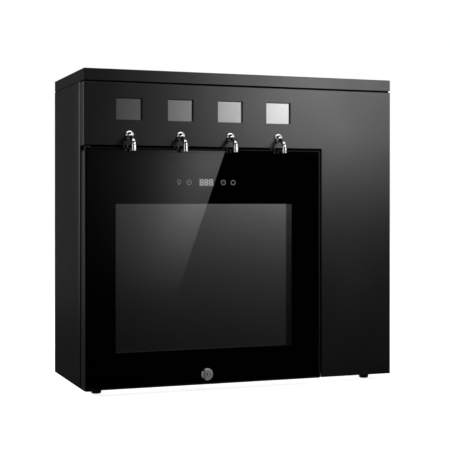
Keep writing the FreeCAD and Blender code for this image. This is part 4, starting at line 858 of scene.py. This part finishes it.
def figure(x, z):
    """A seven-segment figure with every bar lit."""
    left, right = x - FIGURE_WIDE / 2, x + FIGURE_WIDE / 2
    top, low = z + FIGURE_TALL / 2, z - FIGURE_TALL / 2
    gap = FIGURE_BAR * 0.62
    bars = (
        ((left + gap, top), (right - gap, top)),
        ((right, top - gap), (right, z + gap)),
        ((right, z - gap), (right, low + gap)),
        ((left + gap, low), (right - gap, low)),
        ((left, z - gap), (left, low + gap)),
        ((left, top - gap), (left, z + gap)),
        ((left + gap, z), (right - gap, z)),
    )
    return [quad for bar in bars for quad in stroke(bar, FIGURE_BAR)]


def touch_row():
    """Bulb, timer, a panel of three figures, clock and ring; the figures' pale ink is painted glow of lit
    segments.
    """
    ink = printed("mark_print", 0.25)
    raised("mark_bulb", ink, bulb(BULB_X, MARK_LEVEL))
    raised("mark_timer", ink, clock(TIMER_X, MARK_LEVEL))
    raised("mark_clock", ink, clock(CLOCK_X, MARK_LEVEL))
    raised("mark_ring", ink, ring(RING_X, MARK_LEVEL))
    raised("figure_field", printed("figure_panel", 0.11), panel(PANEL_X, MARK_LEVEL))
    # The bars are inked pale as painted glow, for lit segments with no lamp behind them.
    glow_bars = [quad for i in (-1, 0, 1) for quad in figure(PANEL_X + i * FIGURE_PITCH, MARK_LEVEL)]
    raised("figures", printed("figure_painted_glow", 0.85), glow_bars, GLASS_FACE - MARK_DEPTH)


touch_row()


# ------------------------------------------------------------------ lock and displays
LOCK_RADIUS = 12.9 * MM
# In mm from the plug's middle: the cut's line, and the upper of the wedges that end it.
LOCK_CUT = (
    (-5.6, 11.6), (-7.0, 8.6), (-7.9, 4.4), (-8.2, 0.0), (-7.9, -4.4), (-7.0, -8.6), (-5.6, -11.6)
)
CUT_END = ((-8.4, 9.8), (-6.0, 11.4), (-6.4, 7.4))
CUT_WIDE, SEAM_RADIUS, SEAM_WIDE = 1.7 * MM, 6.7 * MM, 0.6 * MM


def lock_grooves():
    """The cut that parts the cam's lobe from the bezel, the seam round the plug, and its keyway. The cut
    and the keyway are flat black prints of painted shade, standing for hollows.
    """
    low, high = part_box("lock_body")
    x, z = high.x - LOCK_RADIUS, (low.z + high.z) / 2
    # painted shade for the cut and the keyway
    painted_groove_shade = matt_black("groove_painted_shade", 0.003, 0.7)
    cut = stroke([(x + a * MM, z + b * MM) for a, b in LOCK_CUT], CUT_WIDE)
    cut += [[(x + a * MM, z + side * b * MM) for a, b in CUT_END] for side in (1, -1)]
    raised("lock_cut_painted_shade", painted_groove_shade, cut, low.y)
    seam = stroke(arc(x, z, SEAM_RADIUS), SEAM_WIDE, True)
    raised("lock_seam", printed("groove_grey", 0.05), seam, low.y)
    keyway = [arc(x, z + 0.8 * MM, 1.5 * MM, steps=20)]
    keyway += stroke([(x, z + 0.5 * MM), (x, z - 3.4 * MM)], 1.2 * MM)
    raised("lock_keyway_painted_shade", painted_groove_shade, keyway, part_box("lock_plug")[0].y, body="lock")


PAINTED_SHADOW_FOOT = 628.8 * MM  # the foot of the painted shadow, 1.2 mm below the top of the openings in the fascia


def display_painted_shadows():
    """Painted shadow: a black strip along the top of each display, where its opening overhangs the lens."""
    # black for the painted shadow
    shade = matt_black("painted_shadow_black", 0.002, 0.7)
    for number in TAPS:
        low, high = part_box(f"display_{number}")
        strip = [(low.x, PAINTED_SHADOW_FOOT), (high.x, PAINTED_SHADOW_FOOT), (high.x, high.z), (low.x, high.z)]
        raised(f"display_painted_shadow_{number}", shade, [strip], low.y, body="cabinet")


lock_grooves()
display_painted_shadows()


# ------------------------------------------------------------------ studio
WHITE = (1.0, 1.0, 1.0, 1.0)
AMBIENT = 0.30
PAPER = (0.86, 0.86, 0.86, 1.0)
PAPER_LIFT = 0.84  # what the floor adds to look white, for the rays that see the background
FLOOR_HALF = 12.0
CARD_RISE = 0.004  # how far the cards that lie on the floor stand off it


def white_for_sight(g):
    """1 for the rays that see the background: the camera's, and those that metal and glass send on."""
    path = g.node("ShaderNodeLightPath").outputs
    seen = g.maths("MAXIMUM", path["Is Camera Ray"], path["Is Glossy Ray"])
    return g.maths("MAXIMUM", seen, path["Is Transmission Ray"])


def emitter(name, strength):
    g = Graph(name)
    return g.done(g.node("ShaderNodeEmission", {"Color": WHITE, "Strength": strength}).outputs[0])


def sheet(name, material, corners, seen_by=("glossy",)):
    """A flat studio card between its corners. Only the kinds of ray in seen_by meet it."""
    data = bpy.data.meshes.new(name)
    data.from_pydata(corners, [], [tuple(range(len(corners)))])
    data.materials.append(material)
    card = bpy.data.objects.new(name, data)
    bpy.context.scene.collection.objects.link(card)
    for kind in ("camera", "diffuse", "glossy", "transmission", "volume_scatter", "shadow"):
        setattr(card, "visible_" + kind, kind in seen_by)


def standing(name, look, start, end, low, high):
    """A card that stands between two (x, y) points, from low to high."""
    sheet(name, look, [(*start, low), (*end, low), (*end, high), (*start, high)])


def lying(name, look, near, far):
    """A card on the floor between two opposite (x, y) corners."""
    corners = (near, (far[0], near[1]), far, (near[0], far[1]))
    sheet(name, look, [(*corner, CARD_RISE) for corner in corners])


def lamp(name, place, target, size, radiance):
    """A soft rectangular lamp of that radiance, turned to target."""
    data = bpy.data.lights.new(name, "AREA")
    data.shape = "RECTANGLE"
    data.size, data.size_y = size
    data.energy = math.pi * radiance * size[0] * size[1]
    made = bpy.data.objects.new(name, data)
    made.location = place
    made.rotation_euler = (Vector(target) - Vector(place)).to_track_quat("-Z", "Y").to_euler()
    made.visible_camera = False
    bpy.context.scene.collection.objects.link(made)
    return made


def studio_world():
    """A low even fill that shows as white."""
    world = bpy.data.worlds.new("studio")
    bpy.context.scene.world = world
    g = Graph("studio", world)
    level = g.span(white_for_sight(g), 0.0, 1.0, AMBIENT, 1.0)
    shine = g.node("ShaderNodeBackground", {"Color": WHITE, "Strength": level}).outputs[0]
    g.put(g.node("ShaderNodeOutputWorld").inputs[0], shine)


def floor():
    """A plain pale floor that keeps the object's shadow."""
    g = Graph("floor_paper")
    lift = g.maths("MULTIPLY", white_for_sight(g), PAPER_LIFT)
    both = g.node("ShaderNodeAddShader")
    g.put(both.inputs[0], g.node("ShaderNodeBsdfDiffuse", {"Color": PAPER}).outputs[0])
    g.put(both.inputs[1], g.node("ShaderNodeEmission", {"Strength": lift}).outputs[0])
    corners = [(x * FLOOR_HALF, y * FLOOR_HALF, 0) for x, y in ((-1, -1), (1, -1), (1, 1), (-1, 1))]
    sheet("floor", g.done(both.outputs[0]), corners,
          ("camera", "diffuse", "glossy", "transmission", "shadow"))


def cards():
    """Black, grey and pale cards for the paint, glass and chrome to mirror."""
    black = emitter("flag_black", 0.0)
    dark = emitter("flag_dark", 0.03)
    grey = emitter("flag_grey", 0.075)
    pale = emitter("strip_pale", 0.65)
    standing("flag_front", black, (-4.0, -3.0), (5.0, -3.0), 0, 6.0)
    standing("flag_left", black, (-4.0, -3.0), (-4.0, 1.4), 0, 3.2)
    standing("flag_back", grey, (-3.4, 1.6), (-0.42, 1.6), 0, 3.0)
    standing("strip_left", pale, (-3.95, -2.95), (-3.95, -0.5), 0.45, 1.5)
    standing("strip_front", pale, (-3.95, -2.95), (-2.3, -2.95), 0.45, 1.5)
    lying("flag_floor", black, (-3, -3), (3, -0.1))
    lying("flag_side", dark, (-3, -0.1), (-0.33, 3))


def lamps():
    """The key on the right, a broad top light, one on the left, and a low gleam for the chrome."""
    lamp("key", (0.755, -1.3, 0.82), (0.755, 0.0, 0.82), (0.627, 0.45), 8.6)
    lamp("top", (0.0, -0.2, 2.6), (0.0, 0.0, 0.3), (2.4, 1.6), 1.0)
    left = lamp("left", (-2.2, -0.45, 1.1), (-0.36, -0.1, 0.55), (0.5, 1.0), 24.0)
    left.visible_glossy = False
    gleam = lamp("gleam", (0.12, -0.66, 0.02), (0.0, -0.16, 0.62), (1.0, 0.14), 4.0)
    chromed = bpy.data.collections.new("chromed")
    for piece in taps:
        chromed.objects.link(piece)
    gleam.light_linking.receiver_collection = chromed


studio_world()
floor()
cards()
lamps()

# The card whose straight edge shows as the slanting reflection in the door's glass. It is laid
# out by where it shows on the glass, and then carried to its own plane.
EYE = Vector((-0.9048, -2.45305, 0.4053))
CARD_Y = -1.3
CARD_FADE = 100 * MM  # how far from its edge the card falls to half
CARD_TOP, CARD_LOW, CARD_LEFT = 520 * MM, 172 * MM, -400 * MM
CARD_FULL = 489 * MM  # the height from which the card is at its brightest
EDGE_AT_TOP, EDGE_LEAN = -49.2 * MM, 0.3595
MIRROR = Vector((EYE.x, 2 * GLASS_FACE - EYE.y, EYE.z))
CARD_SCALE = (CARD_Y - MIRROR.y) / (GLASS_FACE - MIRROR.y)


def on_card(x, z):
    """The point of the card that shows at (x, z) of the glass."""
    return MIRROR.x + CARD_SCALE * (x - MIRROR.x), CARD_Y, MIRROR.z + CARD_SCALE * (z - MIRROR.z)


def slant_card():
    g = Graph("card_light")
    across, _, up = g.axes()
    x = g.maths("MULTIPLY_ADD", across, 1 / CARD_SCALE, MIRROR.x - MIRROR.x / CARD_SCALE)
    z = g.maths("MULTIPLY_ADD", up, 1 / CARD_SCALE, MIRROR.z - MIRROR.z / CARD_SCALE)
    edge = g.maths("MULTIPLY_ADD", z, EDGE_LEAN, EDGE_AT_TOP - EDGE_LEAN * CARD_TOP)
    away = g.maths("DIVIDE", g.maths("SUBTRACT", edge, x), CARD_FADE)
    away = g.maths("POWER", g.maths("MAXIMUM", away, 0.0), 3.0)
    share = g.maths("DIVIDE", 1.0, g.maths("ADD", away, 1.0))
    height = g.maths("POWER", g.span(z, CARD_LOW, CARD_FULL), 2.0)
    strength = g.maths("MULTIPLY", share, height)
    look = g.done(g.node("ShaderNodeEmission", {"Color": WHITE, "Strength": strength}).outputs[0])
    low_edge = EDGE_AT_TOP - EDGE_LEAN * (CARD_TOP - CARD_LOW)
    outline = ((CARD_LEFT, CARD_LOW), (low_edge, CARD_LOW), (EDGE_AT_TOP, CARD_TOP), (CARD_LEFT, CARD_TOP))
    sheet("card_slant", look, [on_card(*corner) for corner in outline])


slant_card()

# ------------------------------------------------------------------ camera
YAW = math.radians(20.32)
SENSOR, LENS, SHIFT = 36.0, 90.67, -0.0466
camera = bpy.data.objects.new("camera", bpy.data.cameras.new("camera"))
camera.location = EYE
camera.rotation_euler = (math.radians(90.0), 0.0, -YAW)
camera.data.sensor_width = SENSOR
camera.data.lens = LENS
camera.data.shift_y = SHIFT
camera.data.clip_start = 0.05
bpy.context.scene.collection.objects.link(camera)
bpy.context.scene.camera = camera

bpy.context.scene.view_settings.view_transform = "Standard"
